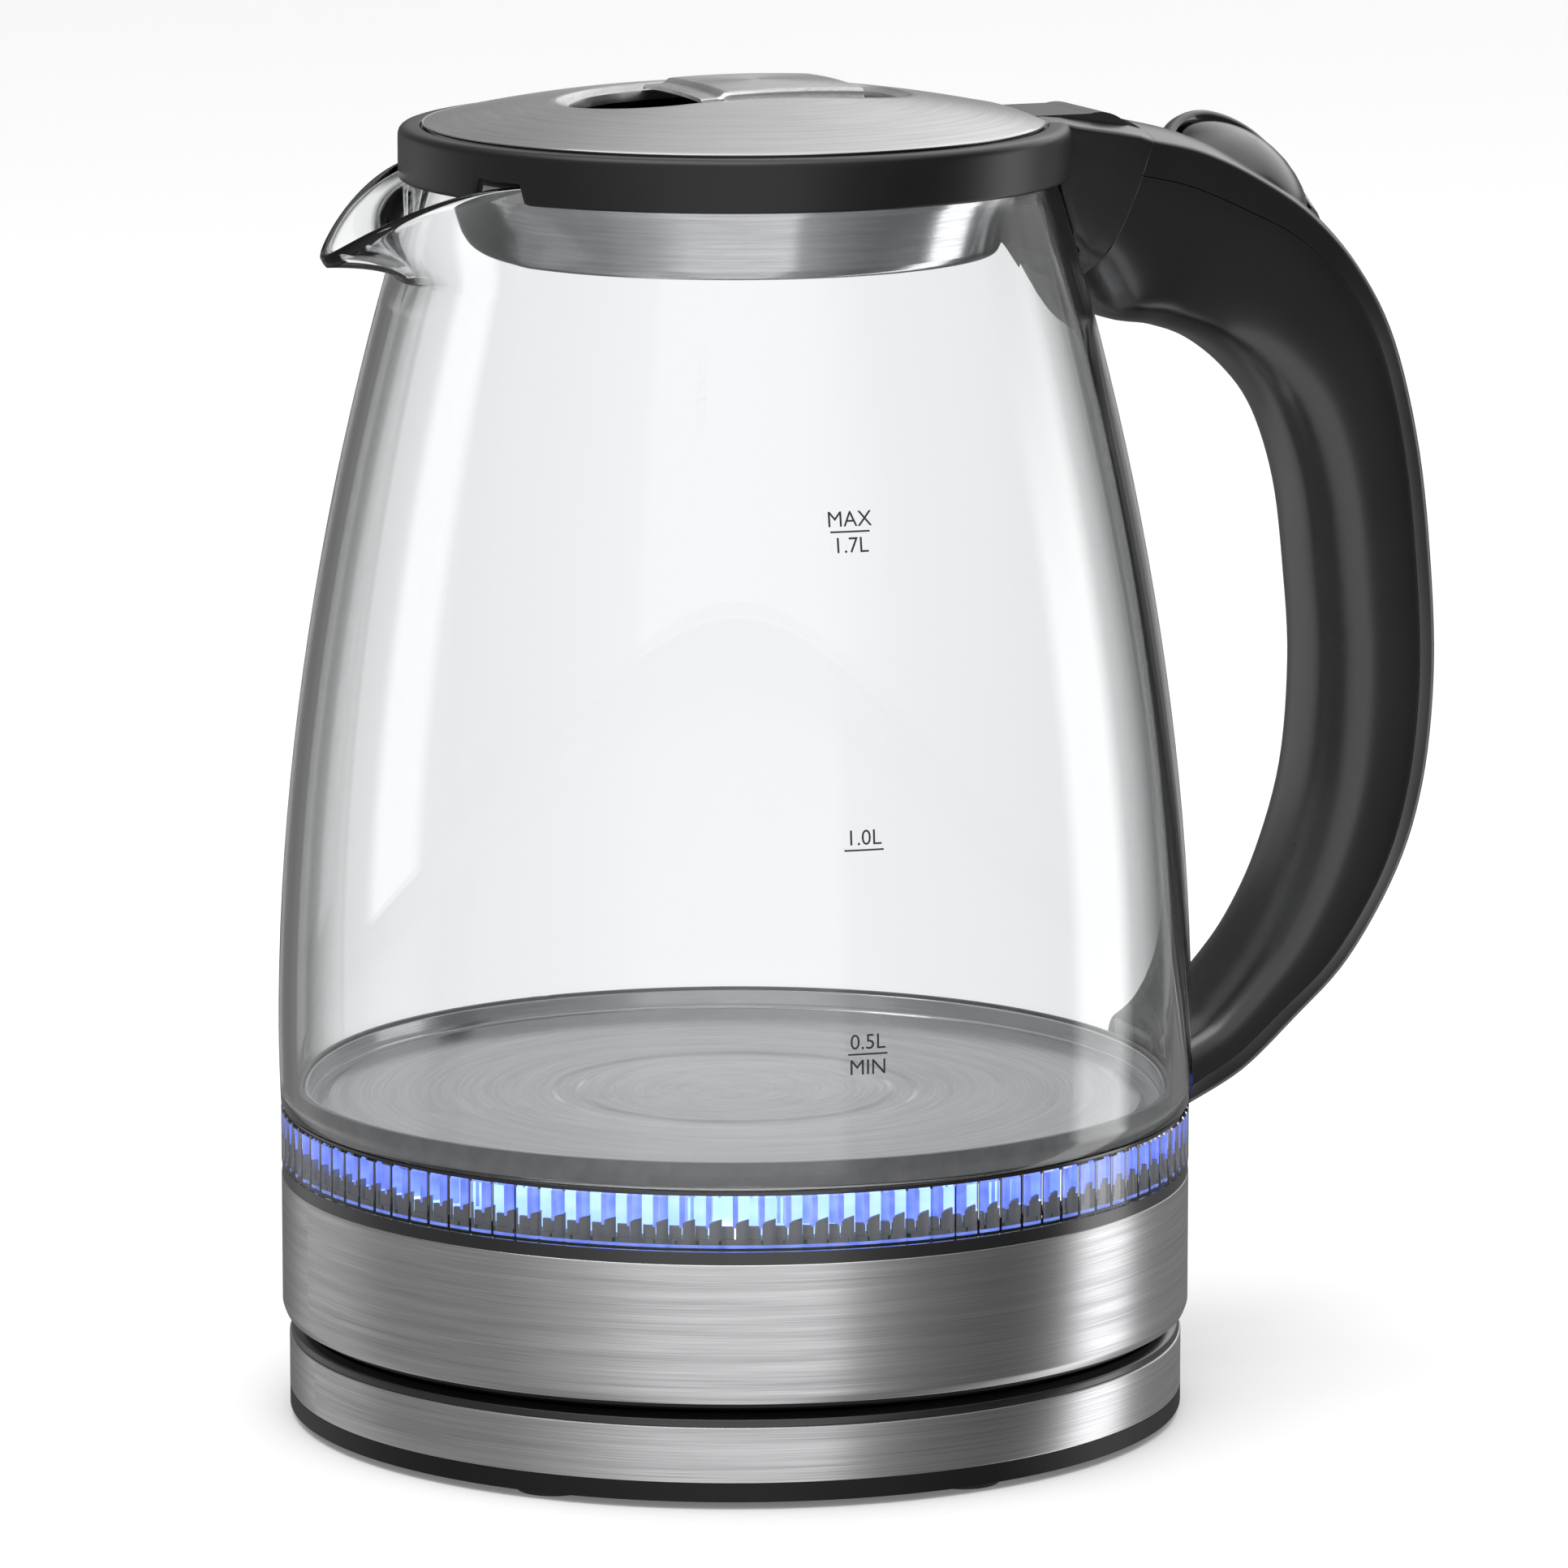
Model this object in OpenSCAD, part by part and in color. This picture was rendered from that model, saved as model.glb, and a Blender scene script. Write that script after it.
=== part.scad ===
// Electric kettle with a glass carafe, standing on a round power base.
// Origin: centre of the base at table level. +Z is up, +X points to the handle, -X to the spout.

/* [Power base] */
// Radius of the power base
base_r = 72.9; // [72.5:0.1:73.5]
// Underside of the base rim above the table
rim_z = 1.2; // [1:0.1:1.4]
// Bottom edge of the base's steel ring
base_ring_z0 = 4.2; // [4:0.1:4.6]
// Top edge of the base's steel ring
base_ring_z1 = 13.2; // [13:0.1:13.4]
// Top of the plate that the kettle stands on
base_top_z = 15.2; // [15.1:0.1:15.3]
// Number of rubber feet
foot_count = 6; // [4:1:8]
// Radius of a rubber foot
foot_r = 5.8; // [5:0.1:6]
// Distance of the feet from the centre
foot_ring_r = 65; // [62:0.5:65]
// Direction of the first foot
foot_angle = 42; // [30:1:50]
// Radius of the cord hole in the base rim's gland
cord_hole_r = 2.6; // [2:0.1:2.8]

/* [Connector] */
// Radius of the connector tower on the base
tower_r = 15; // [14:0.5:15]
// Top of the connector tower
tower_z = 23; // [22:0.5:23.5]
// Radius of the round insert in the middle of the tower
insert_r = 5; // [4.5:0.1:5.2]
// Running clearance of the insert in its bore
insert_gap = 0.06; // [0.03:0.01:0.1]

/* [Kettle body] */
// Radius of the steel band and of the light ring
body_band_r = 74; // [73.8:0.1:74.2]
// Bottom edge of the steel band
band_z0 = 17; // [16.8:0.1:17.2]
// Top edge of the steel band
band_z1 = 39.5; // [39:0.1:40]
// Bottom of the light ring
light_z0 = 41.5; // [41:0.1:42]
// Top of the light ring
light_z1 = 50.5; // [50:0.1:51]
// Top of the heating plate
plate_z = 52.5; // [52:0.5:53]

/* [Glass carafe] */
// Largest outer radius of the glass
belly_r = 74.4; // [74.2:0.1:74.6]
// Height of the largest radius
belly_z = 63; // [60:1:66]
// Bottom edge of the glass
glass_z0 = 51; // [50.9:0.1:51.2]
// Outer radius of the glass neck
neck_r = 51.8; // [51.5:0.1:52]
// Height where the neck and the spout begin
flare_z = 187; // [186:0.5:188]
// Top edge of the glass
glass_top_z = 204; // [203.5:0.1:204.2]
// Thickness of the glass
glass_t = 2.8; // [2.4:0.1:3]
// Reach of the spout's tip from the axis
spout_reach = 70; // [68:0.5:71]
// Height of the spout's tip
spout_tip_z = 190.2; // [189:0.2:192]
// Angle from the middle of the spout to where its lip joins the rim
spout_half_angle = 28; // [26:1:31]

/* [Rim collar and lid] */
// Outer radius of the black collar on the glass rim
collar_r = 54; // [53.8:0.1:54.2]
// Bottom edge of the collar
collar_z0 = 202; // [201.8:0.1:202.2]
// Top of the collar
collar_z1 = 210.4; // [210.2:0.1:210.5]
// Radius of the collar's opening
mouth_r = 48; // [47.5:0.1:48.2]
// Radius of the domed lid disc
disc_r = 50.4; // [50:0.1:50.8]
// Lower edge of the lid disc
disc_z = 210.7; // [210.6:0.1:210.9]
// Height of the lid's dome
dome_h = 5.8; // [5:0.2:6]
// Where the straight rear edge of the lid disc lies
chord_x = 46.2; // [45.8:0.1:46.2]
// Half length of the finger slot
slot_half_l = 27.4; // [26:0.2:28]
// Half width of the finger slot
slot_half_w = 13; // [12:0.5:13]
// Front end of the grip that bridges the slot
grip_x0 = -10.6; // [-11:0.2:-10]
// Rear end of the grip
grip_x1 = 17.2; // [16.6:0.2:17.4]
// Depth of the finger well below the disc
well_depth = 11; // [9:0.5:11]
// Top radius of the steel skirt
skirt_r = 45.2; // [45:0.1:45.4]
// Bottom of the steel skirt
skirt_z = 190; // [189:0.5:191]

/* [Lid hinge] */
// Distance of the hinge pin from the kettle's axis
hinge_x = 60; // [59.8:0.1:60.2]
// Height of the hinge pin
hinge_z = 204; // [203.8:0.1:204.2]
// Radius of the hinge pin
pin_r = 1.5; // [1.3:0.1:1.6]
// Radius of the lid's knuckle
knuckle_r = 6.7; // [6.5:0.1:6.8]
// Half width of the knuckle
knuckle_half_w = 9; // [8.5:0.1:9]

/* [Handle] */
// Half width of the handle's nose at the lid
nose_half_w = 17.7; // [17.5:0.1:17.8]
// Half width of the grip
grip_half_w = 13.1; // [12.5:0.1:13.5]
// Wall thickness of the handle's shells
wall = 2.4; // [2.2:0.1:2.6]
// Squareness of the handle's section, 2 is an ellipse
squareness = 3; // [2.4:0.1:3.4]
// How far the handle's crowned spine rises above its edges
crown = 2.3; // [2:0.1:2.6]

/* [Lid button] */
// Distance of the button from the kettle's axis
button_x = 91.4; // [91:0.1:91.8]
// Height of the button's seat
button_z = 202.3; // [202:0.1:202.6]
// Slope of the button along the handle
button_tilt = 23.2; // [22.8:0.1:23.6]
// Lean of the button's top to one side
button_lean = 20; // [18:1:21]
// End radius of the oval button
button_r = 10.6; // [10.3:0.1:10.7]
// Half distance between the button's two end circles
button_half_l = 1.6; // [1.4:0.1:1.8]

/* [Power switch] */
// Height of the power lever's pivot
switch_z = 30; // [29:0.5:31]
// Distance of the power lever's pivot from the axis
switch_x = 70; // [69.8:0.1:70.2]

/* [Hidden] */
$fn = 96;

eps = 0.01;
black_plastic = [0.06, 0.06, 0.065];
dark_plastic = [0.16, 0.16, 0.17];
steel = [0.72, 0.73, 0.75];
clear = [0.75, 0.85, 0.95, 0.35];
brass = [0.80, 0.65, 0.30];
rubber = [0.10, 0.10, 0.10];
silicone = [0.80, 0.80, 0.78];

// ---------------------------------------------------------------- helpers

// A straight ring between two heights
module ring(r_out, r_in, z0, z1) {
    difference() {
        translate([0, 0, z0]) cylinder(r = r_out, h = z1 - z0);
        translate([0, 0, z0 - 1]) cylinder(r = r_in, h = z1 - z0 + 2);
    }
}

// A solid disc between two heights
module disc(r, z0, z1) {
    translate([0, 0, z0]) cylinder(r = r, h = z1 - z0);
}

// A box from its lowest to its highest corner
module box(low, high) {
    translate(low) cube([high[0] - low[0], high[1] - low[1], high[2] - low[2]]);
}

// A cylinder along Y, centred on Y = 0
module y_rod(r, half_l, x, z) {
    translate([x, half_l, z]) rotate([90, 0, 0]) cylinder(r = r, h = 2 * half_l);
}

// An oval prism: two end circles of radius r, 2 * half_l apart, along local X
module oval(r, half_l, z0, z1) {
    translate([0, 0, z0]) linear_extrude(z1 - z0) hull() {
        translate([-half_l, 0]) circle(r = r, $fn = 32);
        translate([half_l, 0]) circle(r = r, $fn = 32);
    }
}

// Children repeated around the axis
module around(count, first = 0, sweep = 360) {
    for (i = [0 : count - 1]) rotate([0, 0, first + i * sweep / count]) children();
}

// The button's own frame: Z along the button's travel, out of the handle
module at_button() {
    translate([button_x, 0, button_z]) rotate([0, button_tilt, 0]) children();
}

// A closed tube through rings of points, with flat or holed ends left to the caller's rings
module skin(rings, closed_loop = false) {
    n = len(rings[0]);
    m = len(rings);
    last = closed_loop ? m : m - 1;
    sides = [for (j = [0 : last - 1]) for (i = [0 : n - 1])
        let (a = j * n + i, b = j * n + (i + 1) % n)
        let (c = ((j + 1) % m) * n + (i + 1) % n, d = ((j + 1) % m) * n + i)
        each [[a, b, c], [a, c, d]]];
    half = floor(n / 2);
    caps = closed_loop ? [] : [for (e = [0, 1]) for (i = [0 : half - 2])
        let (o = e * (m - 1) * n, p = o + i, q = o + i + 1, r = o + n - 2 - i, s = o + n - 1 - i)
        each (e == 0 ? [[q, p, s], [q, s, r]] : [[p, q, s], [q, r, s]])];
    polyhedron(points = [for (ring_points = rings) each ring_points], faces = concat(sides, caps));
}

// A point on a smooth curve through four points, between the second and the third
function spline(a, b, c, d, t) = 0.5 * (2 * b + (c - a) * t
    + (2 * a - 5 * b + 4 * c - d) * t * t + (3 * b - a - 3 * c + d) * t * t * t);

// A smooth list through points, with a number of steps between neighbours
function smooth(p, steps) = [for (i = [0 : len(p) - 2]) for (k = [0 : steps - 1])
    spline(p[max(0, i - 1)], p[i], p[i + 1], p[min(len(p) - 1, i + 2)], k / steps), p[len(p) - 1]];

// A round tube along a path in the XZ plane
module xz_tube(path, r, sides = 8) {
    n = len(path);
    skin([for (j = [0 : n - 1])
        let (a = path[max(0, j - 1)], b = path[min(n - 1, j + 1)], d = (b - a) / norm(b - a))
        [for (i = [0 : sides - 1]) let (s = 360 * i / sides)
            [path[j][0] - d[1] * r * cos(s), r * sin(s), path[j][1] + d[0] * r * cos(s)]]]);
}

// A coil spring about the local Z axis
module coil(r, wire_r, height, turns, steps = 12) {
    n = turns * steps;
    skin([for (j = [0 : n]) let (a = 360 * j / steps, z = height * j / n)
        [for (i = [0 : 5]) let (s = 60 * i)
            [(r + wire_r * cos(s)) * cos(a), (r + wire_r * cos(s)) * sin(a), z + wire_r * sin(s)]]]);
}

// ---------------------------------------------------------------- power base

boss_ring_r = 42;
boss_count = 4;
screw_r = 1.4;
hub_r = 14;
cord_z = 8.4;

module base_bottom_cover() {
    color(black_plastic) difference() {
        union() {
            disc(base_r, rim_z, 3.2);
            ring(base_r, 70.4, 3.1, base_ring_z0);
            ring(71.4, 70.4, 3.1, 9);
            disc(hub_r, 0, 3);
            around(boss_count, 45) translate([boss_ring_r, 0, 3]) cylinder(r = 4, h = 4);
        }
        around(foot_count, foot_angle) translate([foot_ring_r, 0, 0]) cylinder(r = foot_r + 0.1, h = 2.2);
        around(boss_count, 45) translate([boss_ring_r, 0, 0]) cylinder(r = screw_r + 0.2, h = 10);
        around(boss_count, 45) translate([boss_ring_r, 0, 0]) cylinder(r = 3.2, h = 3.4);
        box([60, -5.2, 3.1], [72, 5.2, 10]);
    }
}

module base_feet() {
    color(rubber) around(foot_count, foot_angle) translate([foot_ring_r, 0, 0]) {
        cylinder(r = foot_r, h = 2.2);
    }
}

module base_steel_ring() {
    color(steel) difference() {
        ring(base_r, base_r - 0.8, base_ring_z0, base_ring_z1);
        translate([60, 0, cord_z]) rotate([0, 90, 0]) cylinder(r = cord_hole_r + 0.4, h = 20);
    }
}

module base_top_plate() {
    color(black_plastic) difference() {
        union() {
            rotate_extrude() polygon([[20.9, base_ring_z1], [base_r - 0.2, base_ring_z1],
                [base_r - 0.6, 14.2], [base_r - 1.8, base_top_z], [20.9, base_top_z]]);
            around(boss_count, 45) translate([boss_ring_r, 0, 7.2]) cylinder(r = 3.4, h = 6.5);
        }
        around(boss_count, 45) translate([boss_ring_r, 0, 6]) cylinder(r = screw_r, h = 7);
    }
}

// Tower with two ring grooves for the contacts and a bore for the insert
module base_connector() {
    color(dark_plastic) difference() {
        union() {
            ring(20.7, insert_r + insert_gap, 3.2, base_top_z);
            ring(tower_r, insert_r + insert_gap, base_top_z - eps, tower_z);
        }
        ring(13.4, 11.6, 13, tower_z + 1);
        ring(9.6, 7.8, 13, tower_z + 1);
    }
}

module base_contacts() {
    color(brass) {
        ring(13.3, 12.7, 13, 20);
        ring(8.5, 7.9, 13, 20);
    }
}

module base_screws() {
    color(steel) around(boss_count, 45) translate([boss_ring_r, 0, 0]) {
        translate([0, 0, 1.9]) cylinder(r = 2.8, h = 1.5);
        translate([0, 0, 3.3]) cylinder(r = screw_r - 0.05, h = 8.5);
    }
}

// Gland in the rim where the supply cord enters
module cord_gland() {
    color(black_plastic) difference() {
        box([61, -5, 3.2], [71.9, 5, base_ring_z1 - 0.1]);
        translate([55, 0, cord_z]) rotate([0, 90, 0]) cylinder(r = cord_hole_r, h = 20);
    }
}

module connector_insert() {
    color(rubber) union() {
        disc(insert_r, 15, tower_z);
        disc(insert_r - 1.5, tower_z - eps, tower_z + 1);
    }
}

// ---------------------------------------------------------------- kettle underside

socket_r = 15.7;
lower_r = 72.6;

module bottom_cover() {
    color(black_plastic) difference() {
        union() {
            rotate_extrude() polygon([[22.2, 15.6], [71, 15.6], [72, 16.2], [72.2, band_z0 + 0.1],
                [lower_r, band_z0 + 0.1], [lower_r, 19], [22.2, 19]]);
            around(3, 60) translate([55, 0, 18.9]) cylinder(r = 4, h = 5);
        }
        around(3, 60) translate([55, 0, 15]) cylinder(r = 3, h = 2.4);
        around(3, 60) translate([55, 0, 15]) cylinder(r = screw_r + 0.2, h = 12);
    }
}

module bottom_screws() {
    color(steel) around(3, 60) translate([55, 0, 0]) {
        translate([0, 0, 16]) cylinder(r = 2.7, h = 1.4);
        translate([0, 0, 17.3]) cylinder(r = screw_r, h = 8);
    }
}

module steel_band() {
    color(steel) difference() {
        rotate_extrude() polygon([[lower_r + 0.1, band_z0 + 0.1], [body_band_r - 0.6, band_z0],
            [body_band_r - 0.1, band_z0 + 0.8], [body_band_r, band_z0 + 2.2], [body_band_r, band_z1],
            [body_band_r - 0.9, band_z1], [body_band_r - 0.9, band_z0 + 2.4], [lower_r + 0.1, band_z0 + 2.1]]);
        box([60, -6.8, switch_z - 7.2], [80, 6.8, switch_z + 7.2]);
    }
}

module seam_ring() {
    color(black_plastic) ring(body_band_r - 0.1, 66, band_z1, light_z0);
}

module light_ring() {
    color([0.45, 0.65, 1.0, 0.5]) ring(body_band_r, 71.2, light_z0, light_z1);
}

module led_board() {
    color([0.05, 0.25, 0.12]) ring(70.9, 66.4, light_z0, light_z0 + 1.4);
}

module leds() {
    color([0.5, 0.7, 1.0]) around(8, 22.5) box([67.4, -1.6, light_z0 + 1.4], [69.6, 1.6, light_z0 + 3.2]);
}

// Three fingers above the ring grooves of the tower, widened by a margin
module fingers(margin) {
    for (spot = [[11.75, 0], [-9.45, 0], [11.75, 90]]) rotate([0, 0, spot[1]])
        box([spot[0] - margin, -1.5 - margin, 18 - margin],
            [spot[0] + 0.65 + margin, 1.5 + margin, 30 + margin]);
}

// Cup that fits over the tower of the power base
module socket_housing() {
    color(dark_plastic) difference() {
        disc(22, 15.6, 27);
        disc(socket_r, 15, 25);
        fingers(0.05);
    }
}

// Contact fingers that reach down into the ring grooves of the tower
module socket_contacts() {
    color(brass) fingers(0);
}

module control_unit() {
    color([0.85, 0.83, 0.78]) difference() {
        union() {
            disc(24, 27, 38);
            box([0, -16, 28], [34, 16, 37]);
        }
        fingers(0.4);
    }
}

module bimetal_disc() {
    color(brass) translate([26, 0, 0]) rotate_extrude()
        polygon([[0, 38.8], [7, 38.2], [7, 38.6], [0, 39.2]]);
}

module heating_plate() {
    color(steel) rotate_extrude() polygon([[0, plate_z - 0.8], [66, plate_z - 0.8], [68, plate_z - 1.4],
        [70.4, plate_z - 1.4], [70.4, 55], [69.6, 55], [69.6, plate_z - 0.6], [68.2, plate_z - 0.6],
        [66.2, plate_z], [0, plate_z]]);
}

module heat_spreader() {
    color([0.8, 0.8, 0.8]) difference() {
        disc(50, 48, plate_z - 0.8);
        rotate([0, 0, 20]) rotate_extrude(angle = 320) translate([42, 47.6]) circle(r = 3.5);
    }
}

module heating_element() {
    color([0.45, 0.44, 0.42]) rotate([0, 0, 20]) rotate_extrude(angle = 320)
        translate([42, 47.6]) circle(r = 3.4);
}

module plate_seal() {
    color(silicone) ring(71.1, 70.4, plate_z - 0.6, 55.4);
}

module glass_foot_ring() {
    color(black_plastic) ring(body_band_r - 0.4, 66, light_z1, glass_z0);
}

// ---------------------------------------------------------------- glass carafe

taper_c = 0.001886;
taper_p = 1.905;
function body_r(z) = z < belly_z ? belly_r - 0.002 * pow(belly_z - z, 2)
    : belly_r - taper_c * pow(z - belly_z, taper_p);

// How far the lip has turned from rim to spout, at an angle from the spout's middle
function from_tip(a) = sqrt(a * a + 4) - 2;
function reach_part(a) = pow(max(0, 1 - from_tip(a) / spout_half_angle), 1.3);
function drop_part(a) = pow(max(0, 1 - from_tip(a) / spout_half_angle), 2.1);
function bezier(a, b, c, t) = (1 - t) * (1 - t) * a + 2 * t * (1 - t) * b + t * t * c;

// Neck and spout paths, [radius, height], from the flare (t = 0) to the top edge (t = 1)
function neck_out(t) = let (z = flare_z + (glass_top_z - flare_z) * t) [max(neck_r, body_r(z)), z];
function neck_in(t) = neck_out(t) - [glass_t, 0];
function spout_out(t) = bezier([body_r(flare_z), flare_z], [58.5, 189.9],
    [spout_reach - 0.6, spout_tip_z], t);
function spout_in(t) = bezier([body_r(flare_z) - glass_t, flare_z], [56, 192.4],
    [spout_reach - 1.4, spout_tip_z + 2.4], t);
function flared(neck, spout, a) = [neck[0] + (spout[0] - neck[0]) * reach_part(a),
    neck[1] + (spout[1] - neck[1]) * drop_part(a)];

// Closed section of the glass wall at an angle from the spout's middle
function glass_section(a) = concat(
    [for (z = [glass_z0, 57, 63, 75, 87, 99, 111, 123, 135, 147, 158, 168, 177]) [body_r(z), z]],
    [for (t = [0 : 0.2 : 1]) flared(neck_out(t), spout_out(t), a)],
    [flared([neck_r - glass_t / 2, glass_top_z + 0.7], [spout_reach + 0.3, spout_tip_z + 1.5], a)],
    [for (t = [1 : -0.2 : 0]) flared(neck_in(t), spout_in(t), a)],
    [for (z = [177, 168, 158, 147, 135, 123, 111, 99, 87, 75, 63, 57, glass_z0]) [body_r(z) - glass_t, z]]);

glass_angles = concat([for (a = [-45 : 3 : 42]) a], [for (a = [45 : 6 : 309]) a]);
function signed(a) = a > 180 ? a - 360 : a;

module glass_carafe() {
    color(clear) skin([for (a = glass_angles)
        [for (p = glass_section(abs(signed(a)))) [-p[0] * cos(a), -p[0] * sin(a), p[1]]]], closed_loop = true);
}

module rim_seal() {
    color(silicone) difference() {
        ring(51.6, 49.2, glass_top_z + 0.9, glass_top_z + 1.7);
        spout_wedge();
        rear_block(nose_half_w + 0.3);
    }
}

// The part of the rim that the spout turns away from
module spout_wedge() {
    box([-60, -32, 200], [-30, 32, 212]);
}

// The part of the rim that the handle's nose covers
module rear_block(half_w) {
    box([40, -half_w, 195], [60, half_w, 220]);
}

// Black collar over the glass rim, notched where the lip crosses it
module rim_collar() {
    cover_z = glass_top_z + 1.8;
    color(black_plastic) difference() {
        rotate_extrude() polygon([[mouth_r, cover_z], [neck_r + 0.7, cover_z], [neck_r + 0.7, collar_z0 + 0.6],
            [neck_r + 1.1, collar_z0], [collar_r - 1, collar_z0], [collar_r - 0.2, collar_z0 + 0.8],
            [collar_r, collar_z0 + 2.2], [collar_r, 207], [collar_r - 0.4, 208.6], [collar_r - 1.4, 209.8],
            [collar_r - 2.8, collar_z1], [collar_r - 3.4, collar_z1], [collar_r - 3.4, collar_z1 - 0.4],
            [mouth_r, collar_z1 - 0.4]]);
        rear_block(nose_half_w + 0.3);
        for (side = [-1, 1]) rotate([0, 0, side * 25])
            box([-60, -5.2, 200], [-neck_r - 0.3, 5.2, glass_top_z + 1.3]);
    }
}

// ---------------------------------------------------------------- handle

// Outer and inner outline of the handle in the XZ plane, from the nose down to the foot
handle_out = [[68, 208.4], [77.3, 206], [87.7, 201.2], [98.5, 194.1], [107.6, 184.4], [114.3, 172.1],
    [119.2, 153.2], [121.9, 132], [122.5, 114], [120.5, 96.9], [116, 82.8], [107.1, 67.9], [97, 58],
    [86.6, 49.3], [75.6, 44]];
handle_in = [[57, 184], [62.9, 176.8], [71.8, 174.8], [80.8, 171.6], [88.6, 165.7], [94.3, 158],
    [98.4, 145.9], [100.4, 130.9], [101.4, 116], [100.1, 98.6], [95.8, 83.9], [90.6, 73.5], [85, 66.2],
    [79.9, 61.1], [75.6, 58.6]];
// Half width of the handle and depth of the outer cover at the same places
handle_w = [17.3, 16.2, 15, 14.2, 13.6, 13.2, grip_half_w, grip_half_w, grip_half_w, grip_half_w,
    grip_half_w, 13.1, 13.2, 13.5, 13.8];
cover_depth = [8.3, 8.3, 8, 6.8, 6, 5.7, 5.7, 5.7, 5.7, 5.7, 5.7, 5.7, 5.7, 5.7, 5.7];
outline_steps = 2;
out_path = smooth(handle_out, outline_steps);
in_path = smooth(handle_in, outline_steps);
width_path = smooth(handle_w, outline_steps);
depth_path = smooth(cover_depth, outline_steps);

// Rounded section point: a and b are the half sizes, s the angle
function power(v) = sign(v) * pow(abs(v), 2 / squareness);
function section_point(a, b, s) = [a * power(cos(s)), b * power(sin(s))];

// Angle on the section where its first coordinate is u
function seam_angle(a, u) = acos(pow(abs(u) / a, squareness / 2) * sign(u));

// Half of the handle's thickness at station j
function half_thickness(j) = norm(out_path[j] - in_path[j]) / 2;

// Places a section point [along the thickness, across] in the handle at station j
function handle_place(j, p) =
    let (o = out_path[j], i = in_path[j], d = (o - i) / norm(o - i), c = (o + i) / 2)
    [c[0] + d[0] * p[0], p[1], c[1] + d[1] * p[0]];

// Wall strip of the handle's section from angle s0 to s1, outside first and back along the inside
function wall_strip(j, s0, s1, inner0, inner1, n) = let (a = half_thickness(j), b = width_path[j])
    concat([for (k = [0 : n]) handle_place(j, section_point(a, b, s0 + (s1 - s0) * k / n))],
        [for (k = [n : -1 : 0])
            handle_place(j, section_point(a - wall, b - wall, inner0 + (inner1 - inner0) * k / n))]);

// Half of the distance between the two seams at station j
function seam_y(j) = width_path[j]
    * power(sqrt(1 - pow(1 - depth_path[j] / half_thickness(j), squareness)));

// Line of the spine's section at station j, from one seam over the crown to the other, moved in by inset
function spine_line(j, u, inset) = let (a = half_thickness(j), y = seam_y(j) - inset)
    concat([[u, -y]], [for (k = [-1 : 0.25 : 1]) [a - inset - crown * k * k, k * (y - 1.2)]], [[u, y]]);

// Inner C-shaped shell of the handle
module handle_shell() {
    color(black_plastic) skin([for (j = [0 : len(out_path) - 1])
        let (a = half_thickness(j), u = a - depth_path[j])
        let (s = seam_angle(a, u), t = seam_angle(a - wall, min(u, a - wall - 0.3)))
        wall_strip(j, s, 360 - s, t, 360 - t, 12)]);
}

// Outer spine cover of the handle
module handle_cover() {
    color(black_plastic) difference() {
        skin([for (j = [0 : len(out_path) - 1])
            let (u = half_thickness(j) - depth_path[j] + 0.25, inner = spine_line(j, u, wall))
            [for (p = concat(spine_line(j, u, 0), [for (k = [len(inner) - 1 : -1 : 0]) inner[k]]))
                handle_place(j, p)]]);
        at_button() oval(button_r + 0.5, button_half_l, -16, 12);
    }
}

// The spine's outer shape as one solid, grown by a margin
module spine_form(margin) {
    skin([for (j = [0 : len(out_path) - 1])
        let (u = half_thickness(j) - depth_path[j] + 0.25, y = seam_y(j) + margin)
        [for (p = concat([[-2, -y]], spine_line(j, u, -margin), [[-2, y], [-2.5, 0]]))
            handle_place(j, p)]]);
}

// Block at the top of the handle that carries the lid hinge and the latch
module handle_nose() {
    slot_half_w2 = knuckle_half_w + 0.4;
    color(black_plastic) difference() {
        translate([0, nose_half_w, 0]) rotate([90, 0, 0]) linear_extrude(2 * nose_half_w)
            polygon([[46.5, 206], [46.5, 210.1], [47.1, 210.7], [54, 210.5], [62, 209.6], [67.6, 208.4],
                [58, 187], [56.7, 187], [54.9, 193], [53.4, 199], [52.6, 203], [52.6, 206]]);
        box([40, -slot_half_w2, 196.8], [80, slot_half_w2, 220]);
        y_rod(pin_r + 0.04, 16, hinge_x, hinge_z);
    }
}

foot_screw_z = 51.4;

// Plate on the body that the handle's foot is screwed to
module foot_bracket() {
    color(steel) difference() {
        union() {
            box([74.5, -8.5, 46.4], [75.4, 8.5, 57]);
            box([75.3, -3, 50.4], [79, 3, 52.4]);
        }
        for (y = [-6, 6]) translate([70, y, foot_screw_z]) rotate([0, 90, 0]) cylinder(r = 1.3, h = 10);
    }
}

module handle_screws() {
    color(steel) for (y = [-6, 6]) translate([0, y, foot_screw_z]) rotate([0, 90, 0]) {
        translate([0, 0, 74.5]) cylinder(r = 1.25, h = 1.6);
        translate([0, 0, 75.4]) cylinder(r = 2.2, h = 1.3);
    }
}

// Bonding pad between the glass and the handle's upper end
module upper_pad() {
    color(rubber) rotate([0, 0, -14]) rotate_extrude(angle = 28)
        polygon([[body_r(188) + 0.05, 188], [body_r(188) + 0.5, 188], [body_r(197) + 0.5, 197],
            [body_r(197) + 0.05, 197]]);
}

// Tube that leads steam down the hollow handle to the switch
module steam_tube() {
    middle = [for (j = [2 : len(out_path) - 3]) (out_path[j] + in_path[j]) / 2];
    color([0.75, 0.75, 0.72]) xz_tube(middle, 2.6);
}

// ---------------------------------------------------------------- lid button and latch

// Radius of the lip and of the button's top along the handle
arch_r = 25;

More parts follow.
